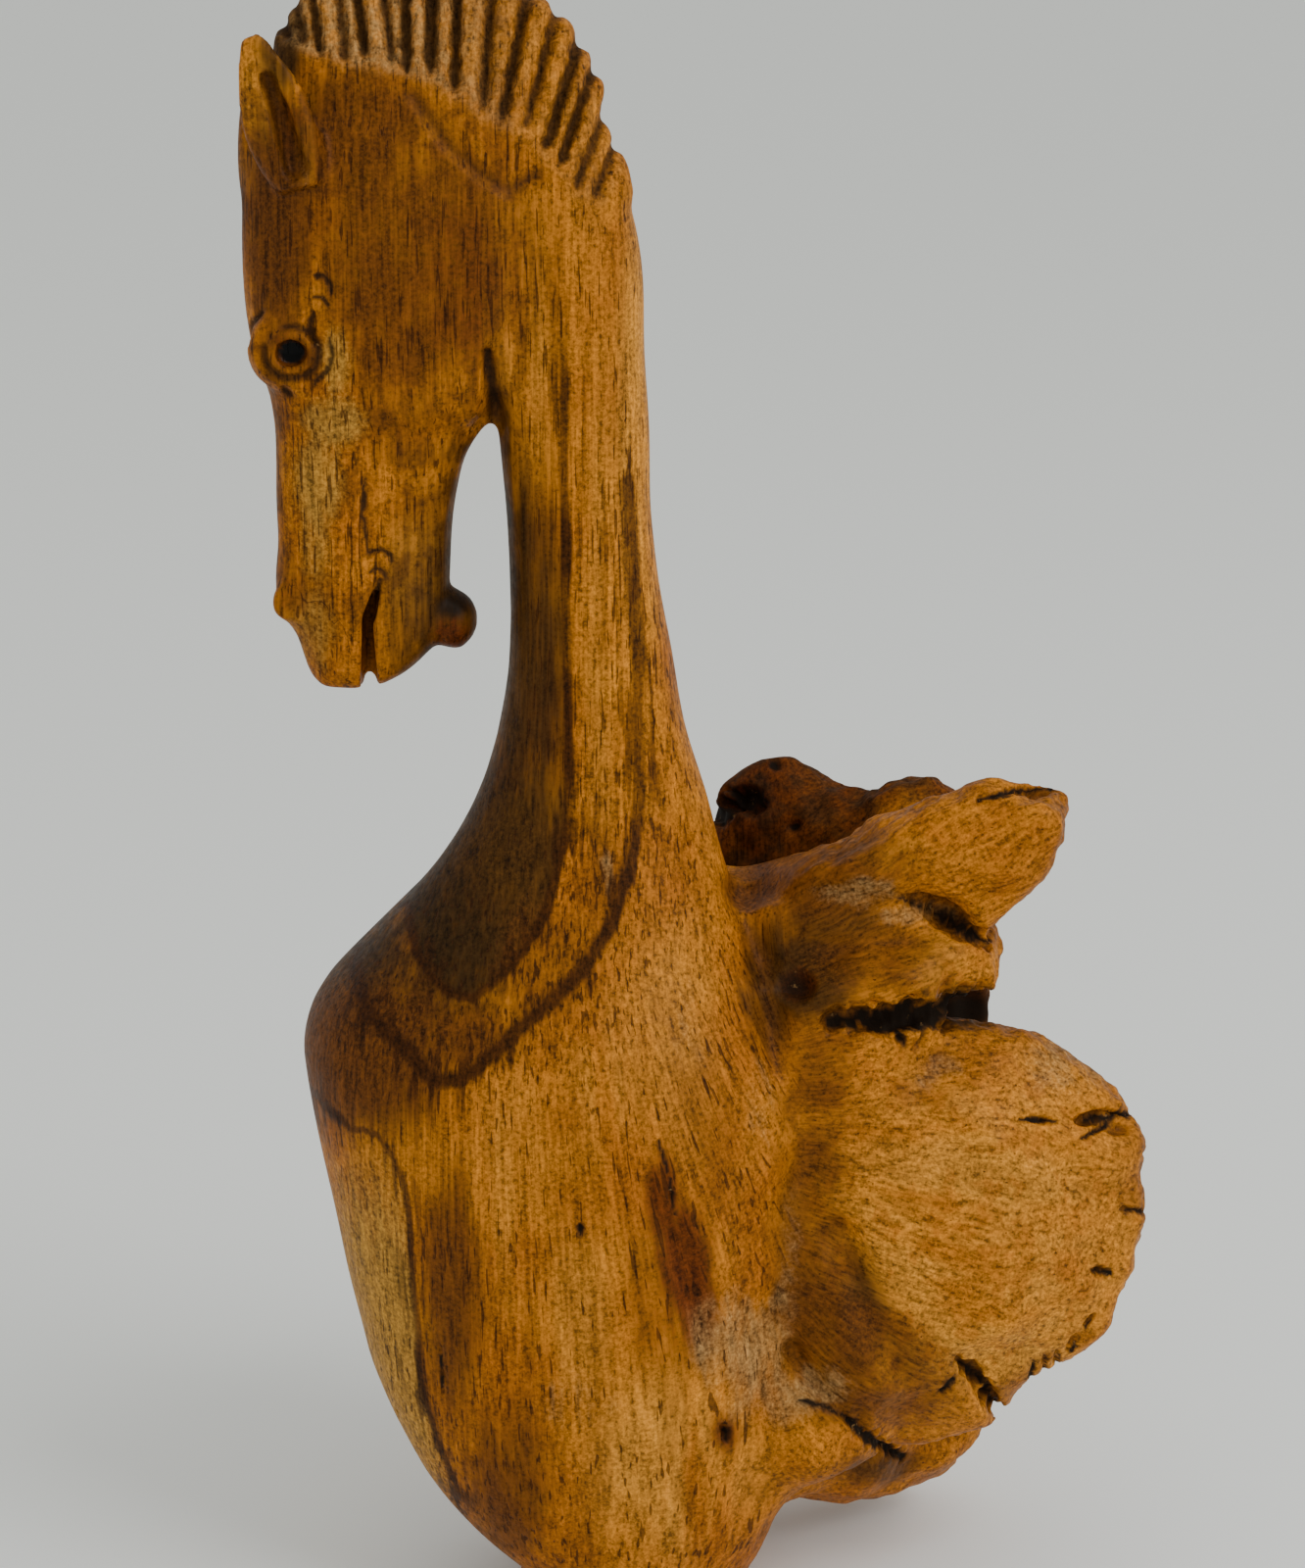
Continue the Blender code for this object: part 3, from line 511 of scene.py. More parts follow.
def carve(mesh, settings):
    """Cut the fine carving into the wood, along the surface's own direction."""
    places, normals = places_of(mesh), normals_of(mesh)
    x, y, z = places.T
    u, v = in_picture(places)
    side = np.abs(y)
    cut, in_mane = mane_cuts(places)
    flank = MANE_TOP_SHARE + (1 - MANE_TOP_SHARE) * fade(side, *MANE_TOP)
    depth = (cut * flank - MANE_RISE * in_mane) * settings.mane_depth / MM
    pupil, ring, out = eye_cuts(x, z)
    on_eye = fade(side, *EYE_BAND)
    depth += pupil * (PUPIL_DEPTH - PUPIL_DISH * np.clip(1 - out, 0, 1)) * on_eye
    depth += ring * LID_CUT[1] * on_eye
    face, _ = cuts_of(FACE_CUTS, x, z, np.zeros(len(x)))
    depth += face * fade(side, *FACE_BAND)
    tongue, _, _ = from_line(x, z, MANE_TONGUE)
    depth += np.clip(1 - tongue / TONGUE_CUT[0], 0, 1) * TONGUE_CUT[1] * fade(side, *TONGUE_BAND)
    scoop, share, _ = from_line(x, z, EAR_SCOOP)
    scooped = np.clip(1 - scoop / (EAR_WIDTH[0] + EAR_WIDTH[1] * share), 0, 1) ** 0.8
    depth += scooped * EAR_DEPTH * outer_ear(y, normals)
    front = near_side(y, normals)
    cracks, dark = cuts_of(BURL_CUTS, u, v, waves(places, *CRACK_WOBBLE))
    depth += (cracks + dark * swells(places, CRACK_SWELLS)) * front
    depth += fade(neck_hollow(u, v), 0, 0.7) * NECK_HOLLOW[3] * front
    for line, half_width, deep in HOLLOWS.values():
        distance, _, _ = from_line(u, v, line)
        depth += fade(1 - distance / half_width, 0, 1) * deep * front
    for amount, pit in zip(knob_pits(u, v, places, normals), KNOB_PITS):
        depth += amount * pit[4]
    burl = on_burl(x, y, z)
    lift = swells(places, HAND_SWELLS) * settings.hand_marks / MM * ((1 - burl) * (1 - in_mane))
    lift += swells(places, BURL_SWELLS) * burl
    lift += swells(places, RIM_SWELLS) * (rim_of(x, z, normals) * burl)
    lift += swells(places, RAW_SWELLS) * raw_wood(places, normals)
    put_places(mesh, inside_block(places + normals * (lift - depth)[:, None]))


def knob_pits(u, v, places, normals):
    """How far each place is inside each hole of the knobs."""
    seen = fade(places[:, 1], 6, 9) * fade(-normals[:, 1], -0.4, 0.1)
    ragged = 1.15 + 0.22 * waves(places, 1.4, 8)
    return [
        fade(ragged - np.hypot((u - pit_u) / wide, (v - pit_v) / high), 0, 0.5) * seen
        for pit_u, pit_v, wide, high, _ in KNOB_PITS]


def raw_wood(places, normals):
    """The far rim's knobs and the inside of the cup, which the carver left rough."""
    x, y, z = places.T
    knobs = fade(y, 8, 12) * fade(z, 64, 68) * fade(x, 5, 7) * (1 - fade(z, 92, 95))
    facing_in = fade(normals[:, 1] * np.sign(6 - y), 0, 0.5)
    cup = fade(x, 20, 26) * facing_in * (1 - fade(z, 60, 66))
    cup = cup * fade(z, 19, 24) * fade(y, -4, 0)
    return np.maximum(knobs, cup)


def smooth_line(points, steps=12):
    """A smooth line through the given points."""
    points = np.array(points, float)
    slopes = np.gradient(points, axis=0)
    part = np.linspace(0, 1, steps, endpoint=False)[:, None]
    pieces = []
    for here in range(len(points) - 1):
        pieces.append(
            points[here] * (1 + 2 * part) * (1 - part) ** 2 + slopes[here] * part * (1 - part) ** 2
            + points[here + 1] * part * part * (3 - 2 * part) - slopes[here + 1] * part * part * (1 - part))
    return np.concatenate(pieces + [points[-1:]])


def trunk_flow(places):
    """Way across, in depth and along the trunk's fibres, which lean back towards the burl lower down."""
    x, y, z = places.T
    down = 1 - fade(z, *FIBRE_LEAN_HEIGHT)
    across = x.copy()
    for _ in range(12):
        across = 0.5 * across + 0.5 * (x - np.interp(across, *FIBRE_LEAN) * down)
    return np.column_stack((across, y * 0.5, z - 0.25 * (x - across)))


def burl_flow(places):
    """Way across, in depth and outwards along the burl's fan of fibres."""
    x, y, z = places.T
    out = np.hypot(x - FAN_ROOT[0], z - FAN_ROOT[1])
    turn = np.arctan2(z - FAN_ROOT[1], x - FAN_ROOT[0])
    return np.column_stack((turn * FAN_SPREAD, y, out))


def patch_masks(places, normals):
    """Masks of all patches of colour, those of the trunk on both its sides."""
    x, y, z = places.T
    burl = on_burl(x, y, z)
    masks = {name: patch_mask(rows, x, z) for name, rows in HEAD_PATCHES.items()}
    u, v = in_picture(places)
    both_u, both_v = in_picture(np.column_stack((x, -np.abs(y), z)))
    for name, rows in NEAR_PATCHES.items():
        on_trunk = patch_mask(rows, both_u, both_v) * (1 - burl)
        seen = facing_viewer(normals) * burl if name == "bark" else near_side(y, normals)
        on_front = patch_mask(rows, u, v) * seen
        masks[name] = np.maximum.reduce((masks.get(name, np.zeros(len(x))), on_trunk, on_front))
    for name, points in RING_LINES.items():
        distance, _, hand = from_line(both_u, both_v, smooth_line(points))
        masks[name] = np.clip(distance * hand, -RING_REACH, RING_REACH)
    return masks


def hollow_masks(places, normals, near):
    """Masks of the wide hollows and of the narrow ones, where shade is painted."""
    smoothed = places
    for _ in range(CAVITY_ROUNDS):
        smoothed = near.mean(smoothed)
    bend = ((near.mean(places) - places) * normals).sum(1)
    for _ in range(2):
        bend = near.mean(bend)
    wide = ((smoothed - places) * normals).sum(1)
    return {"cavity": fade(wide, *CAVITY_DEPTH), "hollows": fade(bend, 0.004, 0.05)}


def write_masks(mesh):
    """Keep what the wood shader needs to know about each place on the mesh itself."""
    places, normals = places_of(mesh), normals_of(mesh)
    x, y, z = places.T
    u, v = in_picture(places)
    side = np.abs(y)
    near = Neighbours(mesh)
    burl = on_burl(x, y, z)
    front = near_side(y, normals)
    cut, in_mane = mane_cuts(places)
    beside_cut = cut
    for _ in range(12):
        beside_cut = near.mean(beside_cut)
    dusty = fade(beside_cut, 0.03, 0.2) * in_mane * (0.25 + 0.75 * fade(-x, 10, 24))
    pupil, ring, _ = eye_cuts(x, z)
    on_eye = fade(side, *EYE_BAND)
    _, face = cuts_of(FACE_CUTS, x, z, np.zeros(len(x)))
    _, cracks = cuts_of(BURL_CUTS, u, v, waves(places, *CRACK_WOBBLE))
    tongue, _, _ = from_line(x, z, MANE_TONGUE)
    all_cuts = np.maximum.reduce((
        face * fade(side, *FACE_BAND) * 0.85, cracks * front, ring * on_eye * 0.9,
        # Painted shade in the round hollow between the neck and the petals
        fade(neck_hollow(u, v), 0, 0.8) * front * 0.85,
        np.clip(1 - tongue / 0.8, 0, 1) * fade(side, *TONGUE_BAND) * 0.45,
        *knob_pits(u, v, places, normals)))
    scoop, share, _ = from_line(x, z, EAR_SCOOP)
    in_ear = np.clip(1.2 - scoop / (0.9 + 0.7 * share), 0, 1)
    behind_trunk = fade(x, 2, 6) * fade(60 - z, 0, 10)
    masks = patch_masks(places, normals) | hollow_masks(places, normals, near) | {
        "mane": in_mane,
        "mane_cut": cut,
        "dusty": dusty * fade(x, -36.5, -33),
        "head": fade(z, 100, 108) * (1 - fade(x, -15, -9)) * (1 - in_mane),
        "pupil": pupil * on_eye,
        "cut": all_cuts,
        "ear_hollow": in_ear * outer_ear(y, normals),
        "ringed": (1 - burl) * (1 - fade(z, 128, 142)) * (1 - behind_trunk),
        "rim": burl * rim_of(x, z, normals),
        "raw": raw_wood(places, normals),
        "burl": burl,
    }
    for name, values in masks.items():
        layer = mesh.attributes.new(name, "FLOAT", "POINT")
        layer.data.foreach_set("value", values.astype(np.float32))
    for name, flow in (("burl_flow", burl_flow(places)), ("trunk_flow", trunk_flow(places))):
        layer = mesh.attributes.new(name, "FLOAT_VECTOR", "POINT")
        layer.data.foreach_set("vector", (flow * MM).astype(np.float32).ravel())


def rim_of(x, z, normals):
    """1 where the burl's surface is its narrow rim rather than a petal's face."""
    on_trunk = (1 - fade(x, 12, 18)) * fade(z, 20, 30)
    return (1 - fade(np.abs(normals[:, 1]), 0.12, 0.5)) * (1 - on_trunk)


def patch_mask(rows, x, z):
    """Soft-edged patches of one kind, the strongest at each place."""
    mask = np.zeros(len(x))
    for middle_x, middle_z, wide, high, strength in rows:
        out = np.hypot((x - middle_x) / wide, (z - middle_z) / high)
        mask = np.maximum(mask, strength * fade(1.5 - out, 0, 1.1))
    return mask


def apply_modifier(piece, kind, **settings):
    """Add a modifier and make it part of the mesh."""
    modifier = piece.modifiers.new(kind.lower(), kind)
    for name, value in settings.items():
        setattr(modifier, name, value)
    bpy.ops.object.modifier_apply(modifier=modifier.name)


def only(piece):
    """Select one piece and nothing else."""
    bpy.ops.object.select_all(action="DESELECT")
    piece.select_set(True)
    bpy.context.view_layer.objects.active = piece


# Shader nodes

def place(tree, kind, inputs=None, **settings):
    """A node with its settings and inputs: values, sockets, or names of masks kept on the mesh."""
    made = tree.nodes.new(kind)
    for name, value in settings.items():
        setattr(made, name, value)
    for name, value in (inputs or {}).items():
        if isinstance(value, str):
            value = kept(tree, value)
        if isinstance(value, bpy.types.NodeSocket):
            tree.links.new(value, made.inputs[name])
        else:
            made.inputs[name].default_value = value
    return made


def math_of(tree, operation, *values):
    return place(tree, "ShaderNodeMath", dict(enumerate(values)), operation=operation).outputs[0]


def times(tree, first, second):
    return math_of(tree, "MULTIPLY", first, second)


def plus(tree, first, second):
    return math_of(tree, "ADD", first, second)


def minus(tree, first, second):
    return math_of(tree, "SUBTRACT", first, second)


def vector_of(tree, operation, inputs):
    return place(tree, "ShaderNodeVectorMath", inputs, operation=operation).outputs[0]


def ramp(tree, value, low, high, to_low=0, to_high=1):
    """Map a value from low..high to to_low..to_high, smooth at both ends."""
    return place(tree, "ShaderNodeMapRange", {
        "Value": value, "From Min": low, "From Max": high, "To Min": to_low, "To Max": to_high},
        interpolation_type="SMOOTHSTEP").outputs[0]


def between(tree, share, first, second):
    return place(tree, "ShaderNodeMix", {0: share, 2: first, 3: second}, data_type="FLOAT").outputs[0]


def mixed(tree, share, first, second):
    return place(tree, "ShaderNodeMix", {0: share, 6: first, 7: second}, data_type="RGBA").outputs[2]


def layered(tree, wood, layers):
    """Lay colours over the wood one after another, each by its own amount."""
    for amount, colour in layers:
        wood = mixed(tree, amount, wood, colour)
    return wood


def noise(tree, at, scale, detail, roughness, output=0):
    return place(tree, "ShaderNodeTexNoise", {
        "Vector": at, "Scale": scale, "Detail": detail, "Roughness": roughness}).outputs[output]


def kept(tree, name, output="Fac"):
    """What write_masks keeps on the mesh under this name."""
    return place(tree, "ShaderNodeAttribute", attribute_name=name, attribute_type="GEOMETRY").outputs[output]


def new_group(name, inputs, outputs):
    """An empty node group. Its inputs and outputs are numbers, but for the input named Vector."""
    group = bpy.data.node_groups.new(name, "ShaderNodeTree")
    for label in inputs:
        kind = "NodeSocketVector" if label == "Vector" else "NodeSocketFloat"
        group.interface.new_socket(label, in_out="INPUT", socket_type=kind)
    for label in outputs:
        group.interface.new_socket(label, in_out="OUTPUT", socket_type="NodeSocketFloat")
    return group, group.nodes.new("NodeGroupInput").outputs, group.nodes.new("NodeGroupOutput").inputs


def drawn_out(group, given, detail, roughness):
    """Noise drawn out along the wood's fibres, as the group's own inputs say."""
    scale = place(group, "ShaderNodeCombineXYZ", {0: given["Across"], 1: given["Across"], 2: given["Along"]})
    stretched = vector_of(group, "MULTIPLY", {0: given["Vector"], 1: scale.outputs[0]})
    return noise(group, stretched, 1, detail, roughness)


def fibre_group():
    """The wood's fibres."""
    group, given, wanted = new_group("fibre", ("Vector", "Across", "Along", "Detail"), ("Value",))
    group.links.new(drawn_out(group, given, given["Detail"], 0.55), wanted["Value"])
    return group


def pore_group():
    """Short open pores along the fibres."""
    group, given, wanted = new_group("pores", ("Vector", "Across", "Along", "Share"), ("Mask",))
    edge = minus(group, 0.75, times(group, given["Share"], 0.5))
    mask = place(group, "ShaderNodeMapRange", {
        "Value": drawn_out(group, given, 1, 0.4), "From Min": edge, "From Max": plus(group, edge, 0.035)})
    group.links.new(mask.outputs[0], wanted["Mask"])
    return group


def ring_group():
    """One growth ring: its dark line, fainter bands beside it, and the wood on its left."""
    group, given, wanted = new_group("ring", ("Distance", "Fibre", "Cloud", "Width"), ("Line", "Inside"))
    ragged = times(group, minus(group, given["Fibre"], 0.5), 1.5)
    wander = times(group, minus(group, given["Cloud"], 0.5), 1.2)
    away = plus(group, given["Distance"], plus(group, ragged, wander))
    width = times(group, given["Width"], plus(group, 0.5, given["Cloud"]))
    off = math_of(group, "DIVIDE", math_of(group, "ABSOLUTE", away), width)
    line = ramp(group, off, 0.4, 1.4, 1, 0)
    bands = times(group, ramp(group, off, 0.5, 6.5, 0.85, 0), ramp(group, given["Fibre"], 0.52, 0.62))
    group.links.new(math_of(group, "MAXIMUM", line, bands), wanted["Line"])
    group.links.new(ramp(group, away, -0.3, 0.4), wanted["Inside"])
    return group


def use(tree, group, output, **inputs):
    """Place a group and give back one of its outputs. Its inputs' names start with a capital."""
    named = {name.capitalize(): value for name, value in inputs.items()}
    return place(tree, "ShaderNodeGroup", named, node_tree=group).outputs[output]


class WoodValues:
    """Noise, fibres and pores, which the colour and the surface of the wood share."""

    def __init__(self, tree):
        self.tree = tree
        at = place(tree, "ShaderNodeTexCoord").outputs["Object"]
        self.specks, self.grain, self.mottle, self.cloud = (
            noise(tree, at, *row) for row in (SPECKS, GRAIN, MOTTLE, CLOUD))
        curl = vector_of(tree, "SUBTRACT", {0: noise(tree, at, *CURL, "Color"), 1: (0.5, 0.5, 0.5)})
        curl = vector_of(tree, "SCALE", {0: curl, "Scale": CURL_REACH})
        trunk = kept(tree, "trunk_flow", "Vector")
        petal = vector_of(tree, "ADD", {0: kept(tree, "burl_flow", "Vector"), 1: curl})
        fibre = fibre_group()

        def fibres(flow, across, along, detail):
            return use(tree, fibre, "Value", vector=flow, across=across, along=along, detail=detail)

        self.wide = self.both(fibres(trunk, *WIDE_FIGURE[0]), fibres(petal, *WIDE_FIGURE[1]))
        self.fine = self.both(fibres(trunk, *FINE_FIBRE[0]), fibres(petal, *FINE_FIBRE[1]))
        self.streaks = fibres(trunk, *STREAKS)
        self.pores = self.open_pores(trunk, petal)

    def both(self, on_trunk, on_burl):
        """A value of the trunk, and on the burl another."""
        return between(self.tree, "burl", on_trunk, on_burl)

    def open_pores(self, trunk, petal):
        """Pores, which crowd beside the outer ring and in red heartwood."""
        tree, group = self.tree, pore_group()
        by_ring = ramp(tree, math_of(tree, "ABSOLUTE", "outer_ring"), 1, 8, 0.11, 0)
        crowd = ramp(tree, self.cloud, 0.3, 0.7, 0.09, 0.27)
        crowd = plus(tree, crowd, times(tree, by_ring, "ringed"))
        crowd = plus(tree, crowd, times(tree, "red", 0.12))
        return self.both(*(
            use(tree, group, "Mask", vector=flow, across=across, along=along, share=share)
            for flow, (across, along), share in zip((trunk, petal), PORES, (crowd, 0.04))))


def ring_lines(tree, values):
    """Dark lines of the growth rings, and for each ring the wood on its left."""
    group, inside, line = ring_group(), {}, 0
    for name, width in RING_WIDTHS.items():
        given = {
            "distance": name, "fibre": values.streaks, "cloud": values.cloud, "width": width}
        line = math_of(tree, "MAXIMUM", line, use(tree, group, "Line", **given))
        inside[name] = use(tree, group, "Inside", **given)
    strength = times(tree, "ringed", ramp(tree, values.cloud, 0.35, 0.6, 0.7, 0.95))
    return times(tree, line, strength), inside


def heartwood(tree, values, colours):
    """The wood's own colour, with its wide and narrow figure, and painted shade in the wide hollows."""
    mottle, wide, both = values.mottle, values.wide, values.both
    orange = ramp(tree, values.cloud, 0.3, 0.7, 0, both(1, 0.6))
    return layered(tree, mixed(tree, orange, colours.honey, colours.orange), (
        (times(tree, "gold", ramp(tree, wide, 0.3, 0.6)), colours.gold),
        (ramp(tree, wide, 0.44, 0.72, 0, both(0.4, 0.55)), colours.umber),
        (both(ramp(tree, values.streaks, 0.5, 0.7, 0, 0.25), 0), colours.umber),
        (ramp(tree, mottle, 0.48, 0.72, 0, both(0.15, 0.2)), colours.umber),
        (ramp(tree, mottle, 0.52, 0.62, 0, both(0, 0.45)), colours.orange),
        (times(tree, "head", ramp(tree, mottle, 0.50, 0.60, 0, 0.55)), colours.umber),
        (times(tree, "head", ramp(tree, mottle, 0.36, 0.46, 0.5, 0)), colours.honey),
        # Painted shade in the wide hollows
        (times(tree, "cavity", 0.6), colours.umber)))


def patched(tree, wood, values, colours, inside, uneven):
    """Ragged patches of other wood and of painted shade and light, some only on one side of a ring."""
    ragged = times(tree, minus(tree, values.grain, 0.5), 0.8)
    soft = values.both(1, 0.6)
    on_left = minus(tree, 1, inside["edge_ring"])
    for name, colour, most, only_here in (
            ("inside_outer", colours.shaded, 0.9, inside["outer_ring"]),
            ("inside_inner", colours.shaded, 0.9, inside["inner_ring"]),
            ("shaded", colours.shaded, 0.9, None), ("umber", colours.umber, 0.9, None),
            ("sapwood", colours.sapwood, 0.9, on_left), ("face_sapwood", colours.sapwood, 0.8, None),
            ("red", colours.red, 0.9, None), ("worn", colours.worn, 0.7, None)):
        edge = plus(tree, times(tree, uneven, 2.2 if name == "worn" else soft), ragged)
        amount = ramp(tree, plus(tree, name, edge), 0.1, 1, 0, most)
        amount = times(tree, amount, ramp(tree, name, 0, 0.25))
        if only_here is not None:
            amount = times(tree, amount, only_here)
        wood = mixed(tree, amount, wood, colour)
    return wood


def wood_colour(tree, values, colours):
    """Heartwood, patches and rings, then dust, and darker colour and black in the carving, with painted
    shade in the narrow hollows.
    """
    cloud, specks, both = values.cloud, values.specks, values.both
    uneven = minus(tree, between(tree, both(0.35, 0.7), values.streaks, values.mottle), 0.5)
    line, inside = ring_lines(tree, values)
    wood = patched(tree, heartwood(tree, values, colours), values, colours, inside, uneven)
    knob = mixed(tree, ramp(tree, values.mottle, 0.40, 0.62, 0.25, 0.9), colours.red, colours.bark)
    groove = plus(tree, "mane_cut", times(tree, uneven, 0.5))
    wood = layered(tree, wood, (
        (line, colours.streak),
        (times(tree, values.pores, 0.75), colours.streak),
        (times(tree, "dusty", ramp(tree, specks, 0.35, 0.65, 0.25, 0.85)), colours.dust),
        (ramp(tree, "ear_hollow", 0.1, 1, 0, 0.85), colours.groove),
        (times(tree, "raw", 0.85), knob),
        (times(tree, "rim", ramp(tree, cloud, 0.35, 0.65, 0, 0.35)), colours.shaded),
        # Painted shade in the narrow hollows
        (times(tree, "hollows", 0.35), colours.umber),
        (ramp(tree, groove, 0.15, 0.75, 0, 0.9), colours.groove)))
    contrast = plus(tree, times(tree, values.grain, 2.5), times(tree, values.fine, both(1.6, 1.7)))
    level = math_of(tree, "MAXIMUM", 0.25, minus(tree, contrast, both(1.25, 1.3)))
    wood = vector_of(tree, "SCALE", {0: wood, "Scale": level})
    # Near black with pale specks, laid in the cuts, cracks and pits, which it darkens
    cut_colour = mixed(tree, ramp(tree, specks, 0.62, 0.74, 0, 0.6), colours.bark, colours.dust)
    return layered(tree, wood, (
        ("bark", colours.bark), ("cut", cut_colour), ("pupil", colours.pupil)))


def oiled_wood(colours):
    """The block's one finish: oiled wood with its rings, pores, worn places and darkened cuts, with painted
    shade and light in places.
    """
    material = bpy.data.materials.new("oiled_wood")
    material.use_nodes = True
    tree = material.node_tree
    shader = tree.nodes["Principled BSDF"]
    values = WoodValues(tree)
    tree.links.new(wood_colour(tree, values, colours), shader.inputs["Base Color"])
    dull = math_of(tree, "MAXIMUM", "mane", "raw")
    dull = math_of(tree, "MAXIMUM", "cut", dull)
    rough = between(tree, dull, ramp(tree, values.specks, 0.3, 0.7, *OILED_ROUGHNESS), DULL_ROUGHNESS)
    rough = between(tree, "pupil", rough, PUPIL_ROUGHNESS)
    tree.links.new(rough, shader.inputs["Roughness"])
    height = minus(tree, times(tree, values.fine, 0.5), values.pores)
    height = plus(tree, height, times(tree, values.specks, 0.35))
    bump = place(tree, "ShaderNodeBump", {"Strength": 0.55, "Distance": RELIEF, "Height": height})
    tree.links.new(bump.outputs[0], shader.inputs["Normal"])
    shader.inputs["Specular IOR Level"].default_value = SPECULAR
    return material


def plain(name, colour, roughness):
    material = bpy.data.materials.new(name)
    material.use_nodes = True
    shader = material.node_tree.nodes["Principled BSDF"]
    shader.inputs["Base Color"].default_value = colour
    shader.inputs["Roughness"].default_value = roughness
    return material


def colour_property(name, description, default):
    return bpy.props.FloatVectorProperty(
        name=name, description=description, subtype="COLOR", size=4, min=0.0, max=1.0,
        default=(*default, 1))


def length_property(name, description, usual, least, most):
    """A length on the panel, given here in millimetres."""
    return bpy.props.FloatProperty(
        name=name, description=description, default=usual * MM, min=least * MM, max=most * MM,
        unit="LENGTH", precision=5)


class CarvedHorseCarving(bpy.types.PropertyGroup):
    """Sizes of the carving."""

    cell: length_property("Cell", "Size of the cells the wood is carved in", 0.36, 0.25, 2.0)
    mane_depth: length_property("Mane Cut Depth", "Depth of the gouge cuts of the mane", 1.1, 0.0, 3.0)
    hand_marks: length_property("Hand Marks", "Height of the swells that hand work leaves", 0.12, 0.0, 1.0)
    triangles: bpy.props.IntProperty(
        name="Triangles", description="Most triangles of the carved figure", default=190000,
        min=20000, max=198000)


class CarvedHorseWood(bpy.types.PropertyGroup):
    """Colours of the wood."""

    honey: colour_property("Honey", "Light heartwood", (0.52, 0.184, 0.014))
    orange: colour_property("Orange", "Warm heartwood", (0.36, 0.109, 0.009))
    # Gold is also laid as painted light on the neck's right side and the lit faces of the petals
    gold: colour_property("Gold", "Yellow heartwood", (0.72, 0.31, 0.040))
    # Umber is also laid as painted shade in hollows and on the petals near the trunk
    umber: colour_property("Umber", "Dark figure of the wood", (0.138, 0.042, 0.006))
    streak: colour_property("Streak", "Pores and ring lines", (0.045, 0.013, 0.002))
    sapwood: colour_property("Sapwood", "Pale sapwood", (0.45, 0.226, 0.036))
    # Partly the breast's dark greenish wood, partly painted shade on the side away from the key light and in
    # hollows between the parts
    shaded: colour_property("Shaded", "Greenish brown wood of the breast", (0.034, 0.0165, 0.0042))
    # Red is also laid as painted shade in the red hollow
    red: colour_property("Red", "Red heartwood", (0.120, 0.025, 0.004))
    # Worn is also laid as a painted sheen on the mid petal's upper face
    worn: colour_property("Worn", "Greyish places without oil", (0.40, 0.235, 0.085))
    dust: colour_property("Dust", "Dry tops of the mane's ridges", (0.40, 0.22, 0.075))
    # Laid over the mane's gouge cuts and the ear's hollow, which it darkens
    groove: colour_property("Groove", "Dirt and old oil in the carved grooves", (0.035, 0.014, 0.003))
    # Bark is also laid as painted shade on the forelock's shadow side
    bark: colour_property("Bark", "Burnt or barky black in the cuts", (0.012, 0.007, 0.004))
    pupil: colour_property("Pupil", "Blackened pupil", (0.004, 0.004, 0.004))


class CarvedHorseStage(bpy.types.PropertyGroup):
    """Floor, lights and camera."""

    floor: colour_property("Floor", "Plain pale floor", (0.90, 0.91, 0.89))
    key: bpy.props.FloatProperty(
        name="Key Light", description="Power of the main light", default=4.2, min=0.0, unit="POWER")
    fill: bpy.props.FloatProperty(
        name="Fill Light", description="Power of the soft light on the shaded side", default=0.4, min=0.0,
        unit="POWER")
    ambient: bpy.props.FloatProperty(
        name="Ambient", description="Strength of the light from all round", default=0.75, min=0.0)


class CARVED_HORSE_OT_figure(bpy.types.Operator):
    """Carve and finish the horse figure over its solid"""

    bl_idname = "carved_horse.figure"
    bl_label = "Carved Figure"

    def execute(self, context):
        settings = context.scene.carved_horse_carving
        figure = bpy.data.objects.new("carved_horse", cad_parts[NODE].data.copy())
        context.scene.collection.objects.link(figure)
        only(figure)
        bpy.ops.object.mode_set(mode="EDIT")
        bpy.ops.mesh.select_all(action="SELECT")
        bpy.ops.mesh.remove_doubles(threshold=1e-6)
        bpy.ops.mesh.select_all(action="DESELECT")
        bpy.ops.mesh.select_mode(type="EDGE")
        bpy.ops.mesh.edges_select_sharp(sharpness=SHARP)
        bpy.ops.transform.edge_crease(value=CREASE)
        bpy.ops.object.mode_set(mode="OBJECT")
        smooth_through(figure)
        cell = settings.cell * 1.0
        apply_modifier(figure, "REMESH", mode="VOXEL", voxel_size=cell, adaptivity=0.0)
        mesh = figure.data
        _, in_mane = mane_cuts(places_of(mesh))
        rub_down(mesh, 10, KEEP_FORM)
        rub_down(mesh, 20, ROUND_OFF, in_mane)
        carve(mesh, settings)
        rub_down(mesh, 1, TAKE_EDGE_OFF)
        faces = 2.0 * len(mesh.polygons)
        if faces > settings.triangles:
            share = settings.triangles / faces
            apply_modifier(figure, "DECIMATE", ratio=share, use_collapse_triangulate=True)
        mesh = figure.data
        put_places(mesh, inside_block(places_of(mesh)))
        write_masks(mesh)
        mesh.materials.clear()
        mesh.materials.append(oiled_wood(context.scene.carved_horse_wood))
        mesh.polygons.foreach_set("use_smooth", [True] * len(mesh.polygons))
        mesh.update()
        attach(figure, "root")
        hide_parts(NODE)
        return {"FINISHED"}


